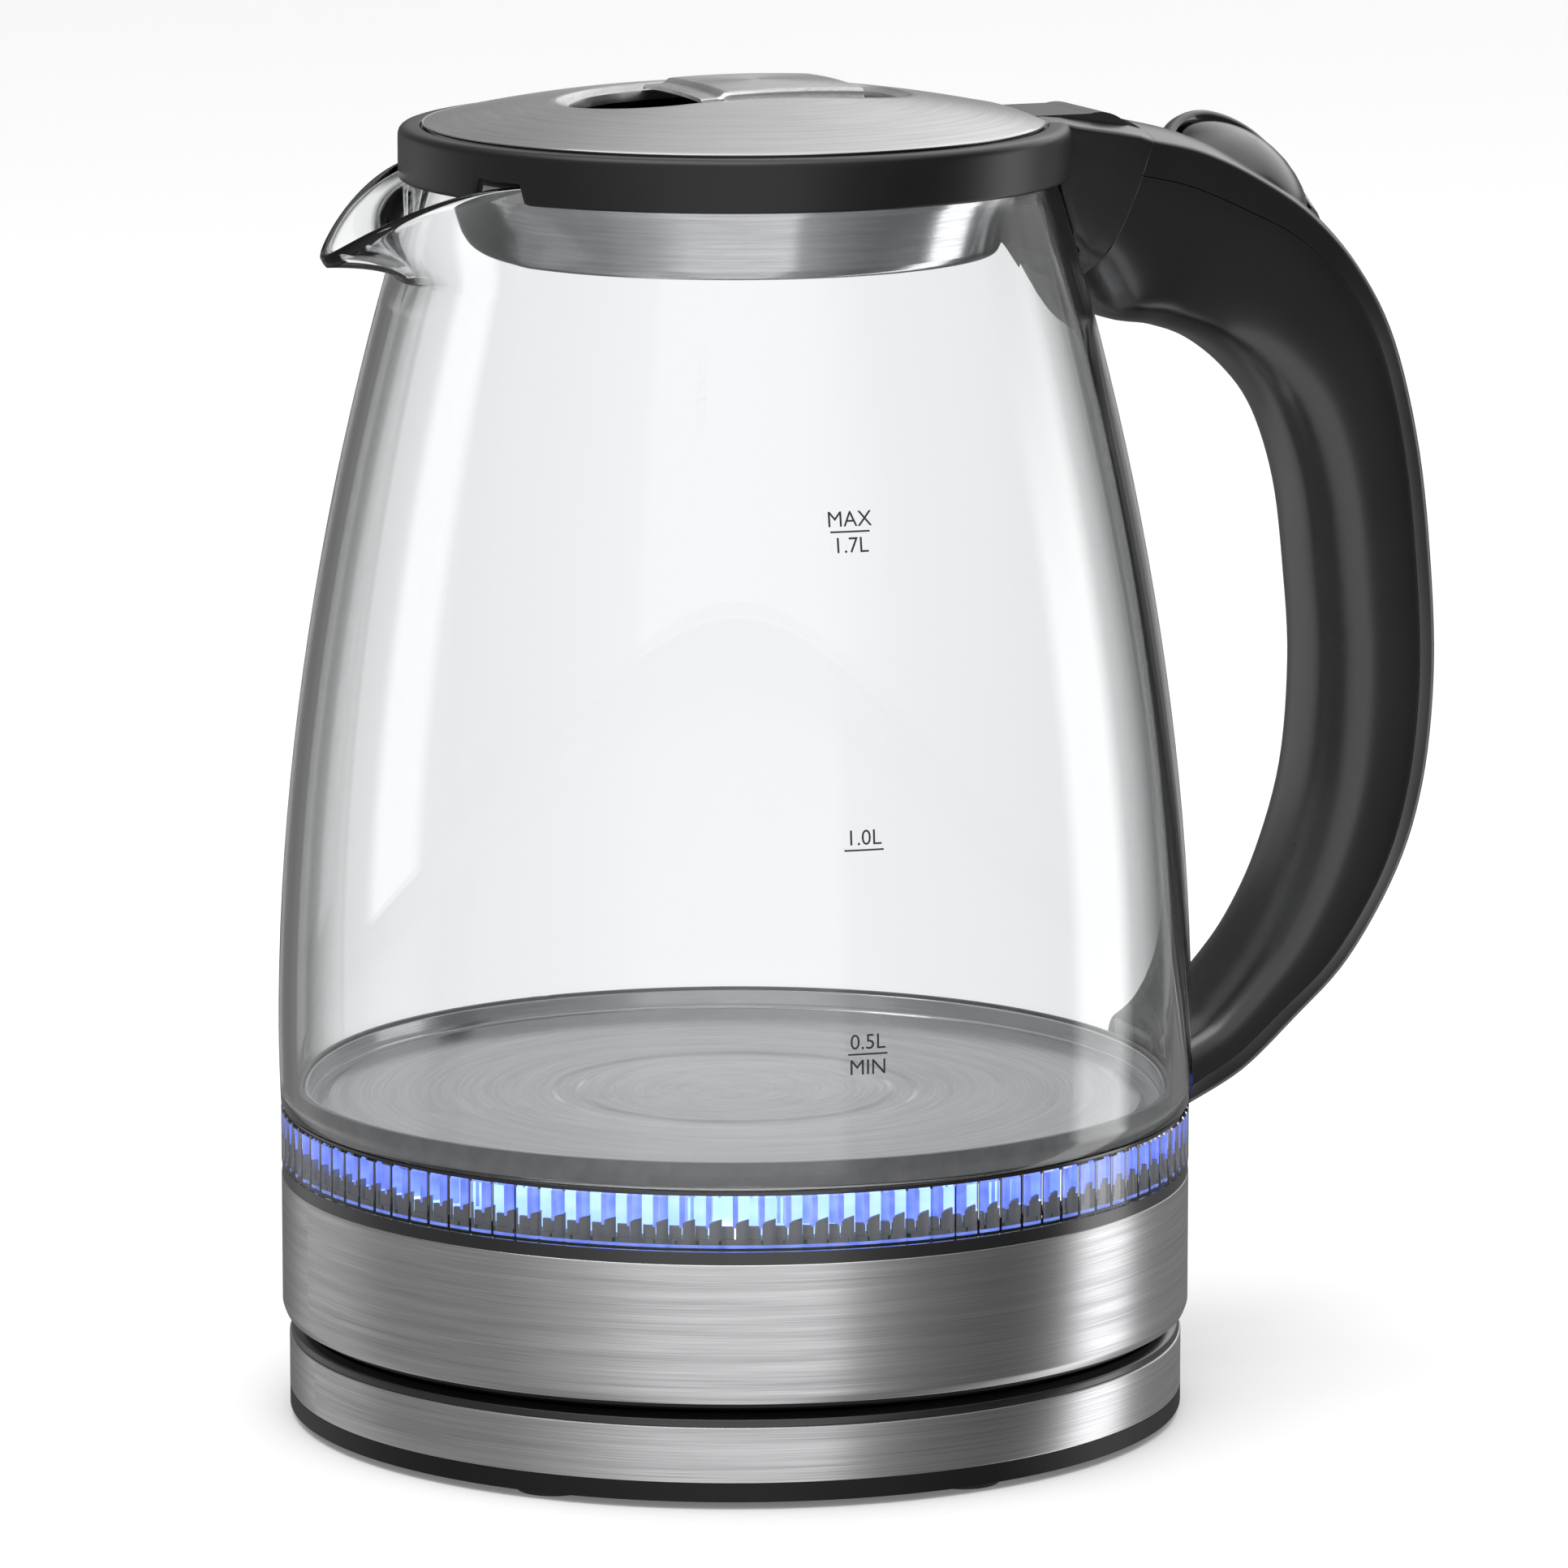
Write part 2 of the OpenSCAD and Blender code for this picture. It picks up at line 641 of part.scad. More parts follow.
module button_bezel() {
    color(black_plastic) difference() {
        at_button() intersection() {
            oval(button_r + 2.6, button_half_l + 0.6, -12, 9);
            rotate([button_lean, 0, 0]) translate([0, 30, -arch_r]) rotate([90, 0, 0])
                cylinder(r = arch_r, h = 60);
            box([-20, -4, -12], [20, 20, 9]);
        }
        at_button() oval(button_r + 0.5, button_half_l, -13, 10);
        spine_form(0.06);
    }
}

module release_button() {
    color(black_plastic) at_button() difference() {
        union() {
            intersection() {
                oval(button_r, button_half_l, -7.2, 9);
                rotate([button_lean, 0, 0]) translate([0, 0, 1.8 - arch_r]) scale([0.8, 1, 1])
                    sphere(r = arch_r);
            }
            translate([0, 0, -9.5]) cylinder(r = 2, h = 3);
        }
        ring(4.4, 2, -7.3, -1.5);
    }
}

module button_spring() {
    color(steel) at_button() translate([0, 0, -9]) coil(3.2, 0.4, 6.9, 5);
}

module latch_slide() {
    color(dark_plastic) union() {
        box([68.6, -4, 197.1], [73.4, 4, 199.2]);
        box([68.6, -4, 197.1], [71, 4, 201.6]);
        box([67.5, -2, 199.8], [68.7, 2, 201.4]);
    }
}

module hinge_pin() {
    color(steel) y_rod(pin_r, 15.8, hinge_x, hinge_z);
}

module hinge_spring() {
    color(steel) translate([hinge_x, 8.9, hinge_z]) rotate([90, 0, 0])
        coil(2.4, 0.3, 2.1, 3);
}

// ---------------------------------------------------------------- power switch

module switch_housing() {
    color(dark_plastic) difference() {
        union() {
            for (side = [-1, 1]) translate([0, side * 8.4, switch_z]) box([65, -1.4, -6], [72, 1.4, 6]);
            box([60, -9.8, switch_z - 6], [65.1, 9.8, switch_z + 6]);
        }
        y_rod(1.55, 12, switch_x, switch_z);
    }
}

module power_lever() {
    color(black_plastic) union() {
        y_rod(3, 6, switch_x, switch_z);
        y_rod(1.5, 9.6, switch_x, switch_z);
        box([switch_x, -6, switch_z - 5], [75.4, 6, switch_z + 5]);
        box([75.3, -6, switch_z + 1.6], [76.2, 6, switch_z + 5]);
    }
}

module switch_spring() {
    color(steel) translate([65.4, 0, switch_z]) rotate([0, 90, 0]) coil(1.6, 0.3, 1.2, 2);
}

// ---------------------------------------------------------------- lid

dome_r = (disc_r * disc_r + dome_h * dome_h) / (2 * dome_h);
dome_centre_z = disc_z + dome_h - dome_r;
disc_t = 0.8;
sweep_gap_r = norm([hinge_x - 46.5, 210.1 - hinge_z]) + 0.6;

// Keeps the lid's rear edge clear of the nose while the lid turns
module rear_sweep() {
    y_rod(sweep_gap_r, 60, hinge_x, hinge_z);
}

// Height of the dome's outer face at a distance from the axis
function dome_at(r) = dome_centre_z + sqrt(dome_r * dome_r - r * r);

module lid_disc() {
    steps = [0 : 6 : 42];
    color(steel) difference() {
        rotate_extrude() polygon(concat([for (r = steps) [r, dome_at(r)]],
            [[disc_r, dome_at(disc_r) + disc_t - 0.3], [disc_r, disc_z], [disc_r - 1.2, disc_z]],
            [for (r = [42 : -6 : 0]) [r, dome_at(r) - disc_t]]));
        slot_prism(0);
        rear_sweep();
        box([chord_x, -60, 200], [80, 60, 230]);
    }
}

// The finger slot in the disc, widened by a margin
module slot_prism(margin) {
    linear_extrude(240) hull() {
        for (side = [-1, 1]) translate([side * (slot_half_l - slot_half_w), 0])
            circle(r = slot_half_w + margin, $fn = 48);
    }
}

// Steel grip that bridges the slot
module lid_grip() {
    color(steel) intersection() {
        translate([0, 0, dome_centre_z]) difference() {
            sphere(r = dome_r + 0.9);
            sphere(r = dome_r - 0.9);
        }
        box([grip_x0, -slot_half_w + 0.1, disc_z], [grip_x1, slot_half_w - 0.1, 230]);
        slot_prism(-0.06);
    }
}

well_z = disc_z - well_depth + 3;

// Black plastic body of the lid with the hinge arm and its knuckle
module lid_body() {
    color(black_plastic) difference() {
        union() {
            difference() {
                union() {
                    disc(46.6, 203.2, 206.4);
                    ring(49.6, 44, disc_z - 0.4, disc_z);
                    ring(46.6, 43.6, 206.3, disc_z);
                }
                slot_prism(1.8);
                rear_sweep();
            }
            difference() {
                box([40, -knuckle_half_w, 206.2], [hinge_x, knuckle_half_w, 210.5]);
                disc(43, 200, 220);
            }
            y_rod(knuckle_r, knuckle_half_w, hinge_x, hinge_z);
        }
        y_rod(pin_r + 0.06, 20, hinge_x, hinge_z);
        translate([hinge_x, 10, hinge_z]) rotate([90, 0, 0]) cylinder(r = 3, h = 3.6);
        around(3, 60) translate([39, 0, 200]) cylinder(r = 1.2, h = 5.6);
    }
}

// Cup under the slot that the fingers reach into
module finger_well() {
    color(black_plastic) difference() {
        translate([0, 0, well_z]) linear_extrude(disc_z - well_z) hull() {
            for (side = [-1, 1]) translate([side * (slot_half_l - slot_half_w), 0])
                circle(r = slot_half_w + 1.6, $fn = 48);
        }
        translate([0, 0, well_z + 1.2]) linear_extrude(20) hull() {
            for (side = [-1, 1]) translate([side * (slot_half_l - slot_half_w), 0])
                circle(r = slot_half_w + 0.2, $fn = 48);
        }
    }
}

skirt_low_r = 42.8;

// Steel pan below the lid, with three windows for the snap tabs
module lid_skirt() {
    color(steel) difference() {
        rotate_extrude() polygon([[0, skirt_z], [skirt_low_r - 1.2, skirt_z], [skirt_low_r, skirt_z + 1.4],
            [skirt_r, 203.1], [skirt_r - 0.6, 203.1], [skirt_low_r - 0.7, skirt_z + 1.6],
            [skirt_low_r - 1.6, skirt_z + 0.6], [0, skirt_z + 0.6]]);
        around(3, -105) box([40, -4.6, 196.4], [50, 4.6, 201.4]);
    }
}

module lid_seal() {
    color(silicone) difference() {
        ring(46.4, skirt_r + 0.1, 201.2, 203.2);
        rear_sweep();
    }
}

module lid_tabs() {
    color(dark_plastic) around(3, -105) box([41.4, -3.6, 197], [43.3, 3.6, 203.2]);
}

module lid_screws() {
    color(steel) around(3, 60) translate([39, 0, 201.8]) {
        cylinder(r = 2.2, h = 1.4);
        cylinder(r = 1.15, h = 3.6);
    }
}

base_bottom_cover();
base_feet();
base_steel_ring();
base_top_plate();
base_connector();
base_contacts();
base_screws();
cord_gland();
connector_insert();
bottom_cover();
bottom_screws();
steel_band();
seam_ring();
light_ring();
led_board();
leds();
socket_housing();
socket_contacts();
control_unit();
bimetal_disc();
heating_plate();
heat_spreader();
heating_element();
plate_seal();
glass_foot_ring();
glass_carafe();
rim_seal();
rim_collar();
handle_nose();
handle_shell();
handle_cover();
foot_bracket();
handle_screws();
upper_pad();
steam_tube();
button_bezel();
hinge_pin();
hinge_spring();
switch_housing();
switch_spring();
lid_disc();
lid_grip();
lid_body();
finger_well();
lid_skirt();
lid_seal();
lid_tabs();
lid_screws();
release_button();
button_spring();
latch_slide();
power_lever();
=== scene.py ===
"""Electric kettle: the visible pieces, materials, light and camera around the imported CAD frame."""
import math
import bmesh
import bpy
from mathutils import Matrix, Vector


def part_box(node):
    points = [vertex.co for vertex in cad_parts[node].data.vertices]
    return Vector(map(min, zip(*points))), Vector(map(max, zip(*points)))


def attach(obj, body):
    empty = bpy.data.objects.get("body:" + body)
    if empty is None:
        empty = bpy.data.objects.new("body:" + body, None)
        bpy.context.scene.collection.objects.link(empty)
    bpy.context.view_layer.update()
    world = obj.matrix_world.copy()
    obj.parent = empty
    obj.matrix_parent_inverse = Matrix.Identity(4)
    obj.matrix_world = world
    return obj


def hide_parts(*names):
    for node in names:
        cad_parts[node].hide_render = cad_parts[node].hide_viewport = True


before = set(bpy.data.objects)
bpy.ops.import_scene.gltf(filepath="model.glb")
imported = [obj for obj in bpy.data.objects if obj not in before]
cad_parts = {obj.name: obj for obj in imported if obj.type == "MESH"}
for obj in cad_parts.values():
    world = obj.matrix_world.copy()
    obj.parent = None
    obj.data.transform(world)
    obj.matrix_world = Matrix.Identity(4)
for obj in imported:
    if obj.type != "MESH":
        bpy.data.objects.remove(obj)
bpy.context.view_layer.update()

# Lengths below are in millimetres, and MM turns them into the frame's metres. The origin is the
# centre of the base on the floor, +X points to the handle and -X to the spout.
MM = 0.001
# Corners that share a place are merged below this distance
WELD = 0.0005


# ----- small helpers

def span(node):
    """Lowest and highest corner of a CAD node, in millimetres."""
    low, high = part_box(node)
    return low / MM, high / MM


def mix(a, b, t):
    """The value between a and b at share t."""
    return a + (b - a) * t


def ramp(t):
    """A smooth step from 0 to 1."""
    t = min(1.0, max(0.0, t))
    return t * t * (3 - 2 * t)


def turn(r, z, degrees):
    """The point at radius r and height z in the direction of an angle about the axis."""
    a = math.radians(degrees)
    return (r * math.cos(a), r * math.sin(a), z)


def bezier(a, b, c, t):
    """The point at share t of a curve from a to c, bent towards b."""
    return tuple((1 - t) ** 2 * p + 2 * t * (1 - t) * q + t * t * s for p, q, s in zip(a, b, c))


def smooth_line(points, steps):
    """A Catmull-Rom curve through points, with a number of steps between neighbours."""
    out = []
    last = len(points) - 1
    for i in range(last):
        a, b, c, d = (points[min(last, max(0, k))] for k in (i - 1, i, i + 1, i + 2))
        for k in range(steps):
            t = k / steps
            out.append(tuple(
                0.5 * (2 * q + (r - p) * t + (2 * p - 5 * q + 4 * r - s) * t * t
                       + (3 * q - p - 3 * r + s) * t ** 3)
                for p, q, r, s in zip(a, b, c, d)))
    out.append(tuple(points[last]))
    return out


def rounded(outline, steps=4):
    """A closed outline of (x, y, corner radius) with every corner rounded."""
    out = []
    count = len(outline)
    for i, (x, y, radius) in enumerate(outline):
        corner = Vector((x, y))
        if radius <= 0:
            out.append((x, y))
            continue
        u = Vector(outline[i - 1][:2]) - corner
        v = Vector(outline[(i + 1) % count][:2]) - corner
        reach = min(radius / math.tan(u.angle(v) / 2), 0.48 * u.length, 0.48 * v.length)
        start = corner + u.normalized() * reach
        end = corner + v.normalized() * reach
        for k in range(steps + 1):
            t = k / steps
            point = (1 - t) ** 2 * start + 2 * t * (1 - t) * corner + t * t * end
            out.append((point.x, point.y))
    return out


# ----- meshes

def piece(name, verts, faces, body, material, slot=None, replaces=(), sharp=35):
    """Makes one visible piece from vertices in millimetres and puts it on its body."""
    mesh = bpy.data.meshes.new(name)
    mesh.from_pydata([Vector(v) * MM for v in verts], [], faces)
    tidy = bmesh.new()
    tidy.from_mesh(mesh)
    bmesh.ops.remove_doubles(tidy, verts=tidy.verts, dist=WELD * MM)
    bmesh.ops.recalc_face_normals(tidy, faces=tidy.faces)
    tidy.to_mesh(mesh)
    tidy.free()
    obj = bpy.data.objects.new(name, mesh)
    bpy.context.scene.collection.objects.link(obj)
    mesh.materials.append(material)
    shade(obj, sharp)
    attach(obj, body)
    if replaces:
        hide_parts(*replaces)
    return obj


def shade(obj, sharp):
    """Smooth shading with edges sharper than an angle kept crisp."""
    for face in obj.data.polygons:
        face.use_smooth = True
    obj.data.set_sharp_from_angle(angle=math.radians(sharp))


def grid_faces(rows, columns, wrap_rows, wrap_columns, offset=0):
    """Quads between the points of a grid stored row by row."""
    faces = []
    for j in range(rows if wrap_rows else rows - 1):
        for i in range(columns if wrap_columns else columns - 1):
            a = offset + j * columns + i
            b = offset + j * columns + (i + 1) % columns
            c = offset + ((j + 1) % rows) * columns + (i + 1) % columns
            d = offset + ((j + 1) % rows) * columns + i
            faces.append((a, b, c, d))
    return faces


def grid(rows, wrap_rows=False, wrap_columns=True, capped=False):
    """Vertices and faces through rows of points."""
    columns = len(rows[0])
    verts = [p for row in rows for p in row]
    faces = grid_faces(len(rows), columns, wrap_rows, wrap_columns)
    if capped:
        faces += strip_cap(0, columns)
        faces += strip_cap((len(rows) - 1) * columns, columns)
    return verts, faces


def strip_cap(first, columns):
    """Closes the end of a wall strip, whose outline runs out along one side and back."""
    return [(first + i, first + i + 1, first + columns - 2 - i, first + columns - 1 - i)
            for i in range(columns // 2 - 1)]


def closed_grid(rows):
    """Vertices and faces through rows of points round a bar, with flat ends."""
    verts, faces = grid(rows)
    columns = len(rows[0])
    faces += [tuple(range(columns)), tuple(range(len(verts) - columns, len(verts)))]
    return verts, faces


def turned(outline, start=0.0, sweep=360.0, steps=240):
    """Vertices and faces of a closed (radius, height) outline turned about the axis."""
    full = sweep >= 360
    rows = [[turn(r, z, start + sweep * k / steps) for r, z in outline]
            for k in range(steps if full else steps + 1)]
    return grid(rows, wrap_rows=full)


def join(*parts):
    """Several (vertices, faces) as one."""
    verts, faces = [], []
    for part_verts, part_faces in parts:
        offset = len(verts)
        verts += part_verts
        faces += [tuple(i + offset for i in face) for face in part_faces]
    return verts, faces


def bevel(obj, width, segments=3, angle=30):
    """A small rounded edge where faces meet at more than an angle."""
    modifier = obj.modifiers.new("edge", "BEVEL")
    modifier.width = width * MM
    modifier.segments = segments
    modifier.limit_method = "ANGLE"
    modifier.angle_limit = math.radians(angle)
    modifier.harden_normals = True
    modifier.miter_outer = "MITER_ARC"
    return obj


# ----- materials

class Nodes:
    """A material's node tree with short calls to add and link nodes."""

    def __init__(self, name):
        self.material = bpy.data.materials.new(name)
        self.material.use_nodes = True
        self.tree = self.material.node_tree
        self.shader = self.tree.nodes["Principled BSDF"]
        self.place = self.add("ShaderNodeTexCoord").outputs["Object"]

    def add(self, kind, **settings):
        node = self.tree.nodes.new(kind)
        for key, value in settings.items():
            setattr(node, key, value)
        return node

    def link(self, source, target):
        self.tree.links.new(source, target)

    def put(self, **values):
        """Constant values straight on the shader's own sockets, with _ for a space."""
        for key, value in values.items():
            self.shader.inputs[key.replace("_", " ")].default_value = value

    def stretched(self, scale):
        """Object coordinates times a scale along each axis."""
        mapping = self.add("ShaderNodeMapping")
        mapping.inputs["Scale"].default_value = scale
        self.link(self.place, mapping.inputs["Vector"])
        return mapping.outputs["Vector"]

    def noise(self, vector, scale, detail=2.0, roughness=0.5):
        node = self.add("ShaderNodeTexNoise")
        node.inputs["Scale"].default_value = scale
        node.inputs["Detail"].default_value = detail
        node.inputs["Roughness"].default_value = roughness
        self.link(vector, node.inputs["Vector"])
        return node.outputs["Fac"]

    def span(self, value, low, high, from_low=0.3, from_high=0.7):
        """The value moved from one range to another."""
        node = self.add("ShaderNodeMapRange")
        node.inputs["From Min"].default_value = from_low
        node.inputs["From Max"].default_value = from_high
        node.inputs["To Min"].default_value = low
        node.inputs["To Max"].default_value = high
        self.link(value, node.inputs["Value"])
        return node.outputs["Result"]

    def colours(self, value, dark, light):
        """A colour between dark and light."""
        node = self.add("ShaderNodeMix", data_type="RGBA")
        node.inputs["A"].default_value = (*dark, 1)
        node.inputs["B"].default_value = (*light, 1)
        self.link(value, node.inputs["Factor"])
        return node.outputs["Result"]

    def math(self, operation, *values):
        node = self.add("ShaderNodeMath", operation=operation)
        for socket, value in zip(node.inputs, values):
            if isinstance(value, (int, float)):
                socket.default_value = value
            else:
                self.link(value, socket)
        return node.outputs["Value"]

    def bump(self, height, strength, distance):
        node = self.add("ShaderNodeBump")
        node.inputs["Strength"].default_value = strength
        node.inputs["Distance"].default_value = distance
        self.link(height, node.inputs["Height"])
        self.link(node.outputs["Normal"], self.shader.inputs["Normal"])

    def around_axis(self, along, across):
        """Coordinates along circles about the axis: turns, height and radius, each scaled."""
        split = self.add("ShaderNodeSeparateXYZ")
        self.link(self.place, split.inputs["Vector"])
        x, y, z = (split.outputs[k] for k in "XYZ")
        angle = self.math("ARCTAN2", y, x)
        radius = self.math("SQRT", self.math("ADD", self.math("MULTIPLY", x, x), self.math("MULTIPLY", y, y)))
        merged = self.add("ShaderNodeCombineXYZ")
        self.link(self.math("MULTIPLY", angle, along), merged.inputs["X"])
        self.link(self.math("MULTIPLY", z, across), merged.inputs["Y"])
        self.link(self.math("MULTIPLY", radius, across), merged.inputs["Z"])
        return merged.outputs["Vector"]


def moulded_plastic(name, dark, light, roughness, grain=0.06, sheen_noise=0.06, gloss=0.5):
    """Moulded plastic with a fine grain and a slight change of gloss."""
    n = Nodes(name)
    cloud = n.noise(n.place, 45.0, 3.0)
    n.link(n.colours(n.span(cloud, 0.0, 1.0), dark, light), n.shader.inputs["Base Color"])
    fine = n.noise(n.place, 5200.0, 2.0, 0.6)
    uneven = n.span(cloud, roughness - sheen_noise / 2, roughness + sheen_noise / 2)
    n.link(uneven, n.shader.inputs["Roughness"])
    n.bump(fine, grain, 0.00004)
    n.put(IOR=1.5, Specular_IOR_Level=gloss)
    return n.material


def brushed_metal(name, dark, light, roughness, anisotropic, fine=7000.0, spread=0.10):
    """Steel brushed in circles about the axis."""
    n = Nodes(name)
    lines = n.noise(n.around_axis(2.6, fine), 1.0, 3.0, 0.65)
    wide = n.noise(n.around_axis(1.4, fine / 9), 1.0, 2.0, 0.5)
    both = n.math("ADD", n.math("MULTIPLY", lines, 0.65), n.math("MULTIPLY", wide, 0.35))
    n.link(n.colours(n.span(both, 0.0, 1.0, 0.36, 0.64), dark, light), n.shader.inputs["Base Color"])
    n.link(n.span(both, roughness + spread / 2, roughness - spread / 2), n.shader.inputs["Roughness"])
    n.bump(lines, 0.10, 0.00003)
    n.put(Metallic=1.0, Anisotropic=anisotropic, Anisotropic_Rotation=0.25)
    tangent = n.add("ShaderNodeTangent", direction_type="RADIAL", axis="Z")
    n.link(tangent.outputs["Tangent"], n.shader.inputs["Tangent"])
    return n.material


def plain_metal(name, dark, light, roughness, stretch=(1, 1, 1), scale=900.0):
    """Turned, pressed or drawn metal."""
    n = Nodes(name)
    marks = n.noise(n.stretched(stretch), scale, 3.0, 0.6)
    n.link(n.colours(n.span(marks, 0.0, 1.0), dark, light), n.shader.inputs["Base Color"])
    n.link(n.span(marks, roughness - 0.06, roughness + 0.08), n.shader.inputs["Roughness"])
    n.bump(marks, 0.08, 0.00003)
    n.put(Metallic=1.0)
    return n.material


def clear_glass(name, tint, ior, roughness=0.0):
    """Clear glass or clear plastic, with the faint waviness of a blown wall."""
    n = Nodes(name)
    wave = n.noise(n.place, 28.0, 1.0)
    n.bump(wave, 0.035, 0.0006)
    n.put(Base_Color=(*tint, 1), IOR=ior, Roughness=roughness, Transmission_Weight=1.0)
    return n.material


def glow(name, dark, light, strength, scale=400.0):
    """Plastic that is lit from within, with a slight cloud in it."""
    n = Nodes(name)
    cloud = n.noise(n.place, scale, 1.0)
    colour = n.colours(n.span(cloud, 0.0, 1.0), dark, light)
    n.link(colour, n.shader.inputs["Base Color"])
    n.link(colour, n.shader.inputs["Emission Color"])
    n.put(Emission_Strength=strength, Roughness=0.4)
    return n.material


def rubbery(name, dark, light, roughness):
    """Rubber or silicone with a matt, slightly dusty face."""
    n = Nodes(name)
    cloud = n.noise(n.place, 320.0, 4.0, 0.6)
    n.link(n.colours(n.span(cloud, 0.0, 1.0), dark, light), n.shader.inputs["Base Color"])
    n.link(n.span(cloud, roughness - 0.08, roughness + 0.08), n.shader.inputs["Roughness"])
    n.bump(cloud, 0.12, 0.00008)
    return n.material


def board_material():
    """Green circuit board with its copper tracks."""
    n = Nodes("circuit_board")
    tracks = n.add("ShaderNodeTexWave", wave_type="RINGS", rings_direction="Z")
    tracks.inputs["Scale"].default_value = 420.0
    tracks.inputs["Distortion"].default_value = 0.6
    n.link(n.place, tracks.inputs["Vector"])
    lines = n.span(tracks.outputs["Fac"], 0.0, 1.0, 0.45, 0.55)
    n.link(n.colours(lines, (0.008, 0.075, 0.03), (0.02, 0.16, 0.06)), n.shader.inputs["Base Color"])
    n.put(Roughness=0.35)
    return n.material


black = moulded_plastic("black_plastic", (0.0036, 0.0036, 0.004), (0.005, 0.005, 0.0054), 0.25, gloss=0.9)
satin_black = moulded_plastic("satin_black", (0.005, 0.005, 0.0056), (0.007, 0.007, 0.0076), 0.34, gloss=0.42)
gloss_black = moulded_plastic("gloss_black", (0.003, 0.003, 0.0034), (0.0044, 0.0044, 0.0048), 0.17,
                              grain=0.03, sheen_noise=0.03, gloss=1.0)
matt_black = moulded_plastic("matt_black", (0.005, 0.005, 0.0055), (0.008, 0.008, 0.0085), 0.45,
                             grain=0.1, gloss=0.25)
grey_plastic = moulded_plastic("grey_plastic", (0.055, 0.055, 0.06), (0.075, 0.075, 0.08), 0.42)
cream_plastic = moulded_plastic("white_plastic", (0.56, 0.54, 0.48), (0.66, 0.64, 0.58), 0.45)
brushed_steel = brushed_metal("brushed_steel", (0.40, 0.40, 0.41), (0.66, 0.66, 0.67), 0.33, 0.75)
lid_steel = brushed_metal("lid_steel", (0.44, 0.44, 0.45), (0.66, 0.66, 0.67), 0.30, 0.6, fine=11000.0)
pan_steel = brushed_metal("pan_steel", (0.50, 0.50, 0.51), (0.66, 0.66, 0.67), 0.16, 0.5,
                          fine=2200.0, spread=0.06)
bright_steel = plain_metal("bright_steel", (0.58, 0.58, 0.59), (0.72, 0.72, 0.73), 0.16)
zinc = plain_metal("zinc_screws", (0.45, 0.45, 0.44), (0.62, 0.61, 0.59), 0.34)
spring_steel = plain_metal("spring_steel", (0.40, 0.40, 0.41), (0.58, 0.58, 0.60), 0.28, (1, 1, 4))
brass = plain_metal("brass", (0.55, 0.40, 0.16), (0.72, 0.55, 0.25), 0.30)
aluminium = plain_metal("aluminium", (0.56, 0.56, 0.57), (0.70, 0.70, 0.71), 0.42)
element_skin = plain_metal("element_skin", (0.16, 0.15, 0.14), (0.28, 0.26, 0.24), 0.5)
glass = clear_glass("glass", (0.985, 0.995, 1.0), 1.47)
clear_plastic = clear_glass("light_ring", (0.97, 0.985, 1.0), 1.45)
silicone = rubbery("silicone", (0.60, 0.60, 0.58), (0.72, 0.72, 0.70), 0.5)
seal_grey = rubbery("seal_grey", (0.13, 0.13, 0.135), (0.19, 0.19, 0.195), 0.45)
rubber = rubbery("rubber", (0.012, 0.012, 0.012), (0.022, 0.022, 0.022), 0.7)
board = board_material()
pale_glow = glow("pale_glow", (0.40, 0.64, 1.0), (0.52, 0.74, 1.0), 1.1)
deep_glow = glow("deep_glow", (0.13, 0.19, 0.74), (0.22, 0.31, 0.90), 0.9)
led_glow = glow("led", (0.62, 0.80, 1.0), (0.75, 0.88, 1.0), 2.5)
grey_fence = moulded_plastic("grey_fence", (0.24, 0.245, 0.26), (0.34, 0.345, 0.36), 0.5)
ink = moulded_plastic("mark_ink", (0.012, 0.012, 0.014), (0.03, 0.03, 0.034), 0.6)

# The CAD nodes that stay in view as they are, with their materials
CARRIED = {
    "base_bottom_cover": matt_black, "base_feet": rubber, "base_connector": grey_plastic,
    "base_contacts": brass, "base_screws": zinc, "cord_gland": matt_black, "connector_insert": rubber,
    "bottom_cover": matt_black, "bottom_screws": zinc, "seam_ring": black, "led_board": board,
    "leds": led_glow, "socket_housing": grey_plastic, "socket_contacts": brass, "control_unit": cream_plastic,
    "bimetal_disc": brass, "heat_spreader": aluminium, "heating_element": element_skin,
    "plate_seal": seal_grey, "glass_foot_ring": gloss_black, "rim_seal": silicone, "foot_bracket": zinc,
    "handle_screws": zinc, "upper_pad": rubber, "steam_tube": silicone, "hinge_pin": bright_steel,
    "hinge_spring": spring_steel, "switch_housing": grey_plastic, "switch_spring": spring_steel,
    "lid_body": black, "finger_well": matt_black, "lid_seal": silicone, "lid_tabs": grey_plastic,
    "lid_screws": zinc, "button_spring": spring_steel, "latch_slide": grey_plastic,
    "power_lever": gloss_black,
}


def carry_over():
    """Gives each CAD node that stays its material."""
    for name, material in CARRIED.items():
        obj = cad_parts[name]
        obj.data.materials.clear()
        obj.data.materials.append(material)


# ----- power base

def make_base():
    """The power base's steel ring and its dished black top."""
    low, high = span("base_steel_ring")
    r = high.x
    sheet = 0.8
    outline = [(r, low.z, 0.25), (r, high.z, 0.35), (r - sheet, high.z, 0.2), (r - sheet, low.z, 0.2)]
    piece("base_band", *turned(rounded(outline), steps=288), "power_base", brushed_steel,
          "brushed_steel", ["base_steel_ring"])
    low, high = span("base_top_plate")
    r, top = high.x, high.z
    bore = 20.9
    bottom = 13.2
    dip = 0.5
    outline = [(r, bottom, 0.2), (r - 0.25, top - 0.9, 0.5), (r - 1.7, top, 0.6), (r - 5, top, 0.4),
               (r - 5.6, top - dip, 0.4), (bore + 3.1, top - dip, 0.4), (bore + 2.5, top, 0.4),
               (bore, top, 0.3), (bore, bottom, 0)]
    piece("base_deck", *turned(rounded(outline)), "power_base", black, "black_plastic", ["base_top_plate"])


# ----- kettle foot

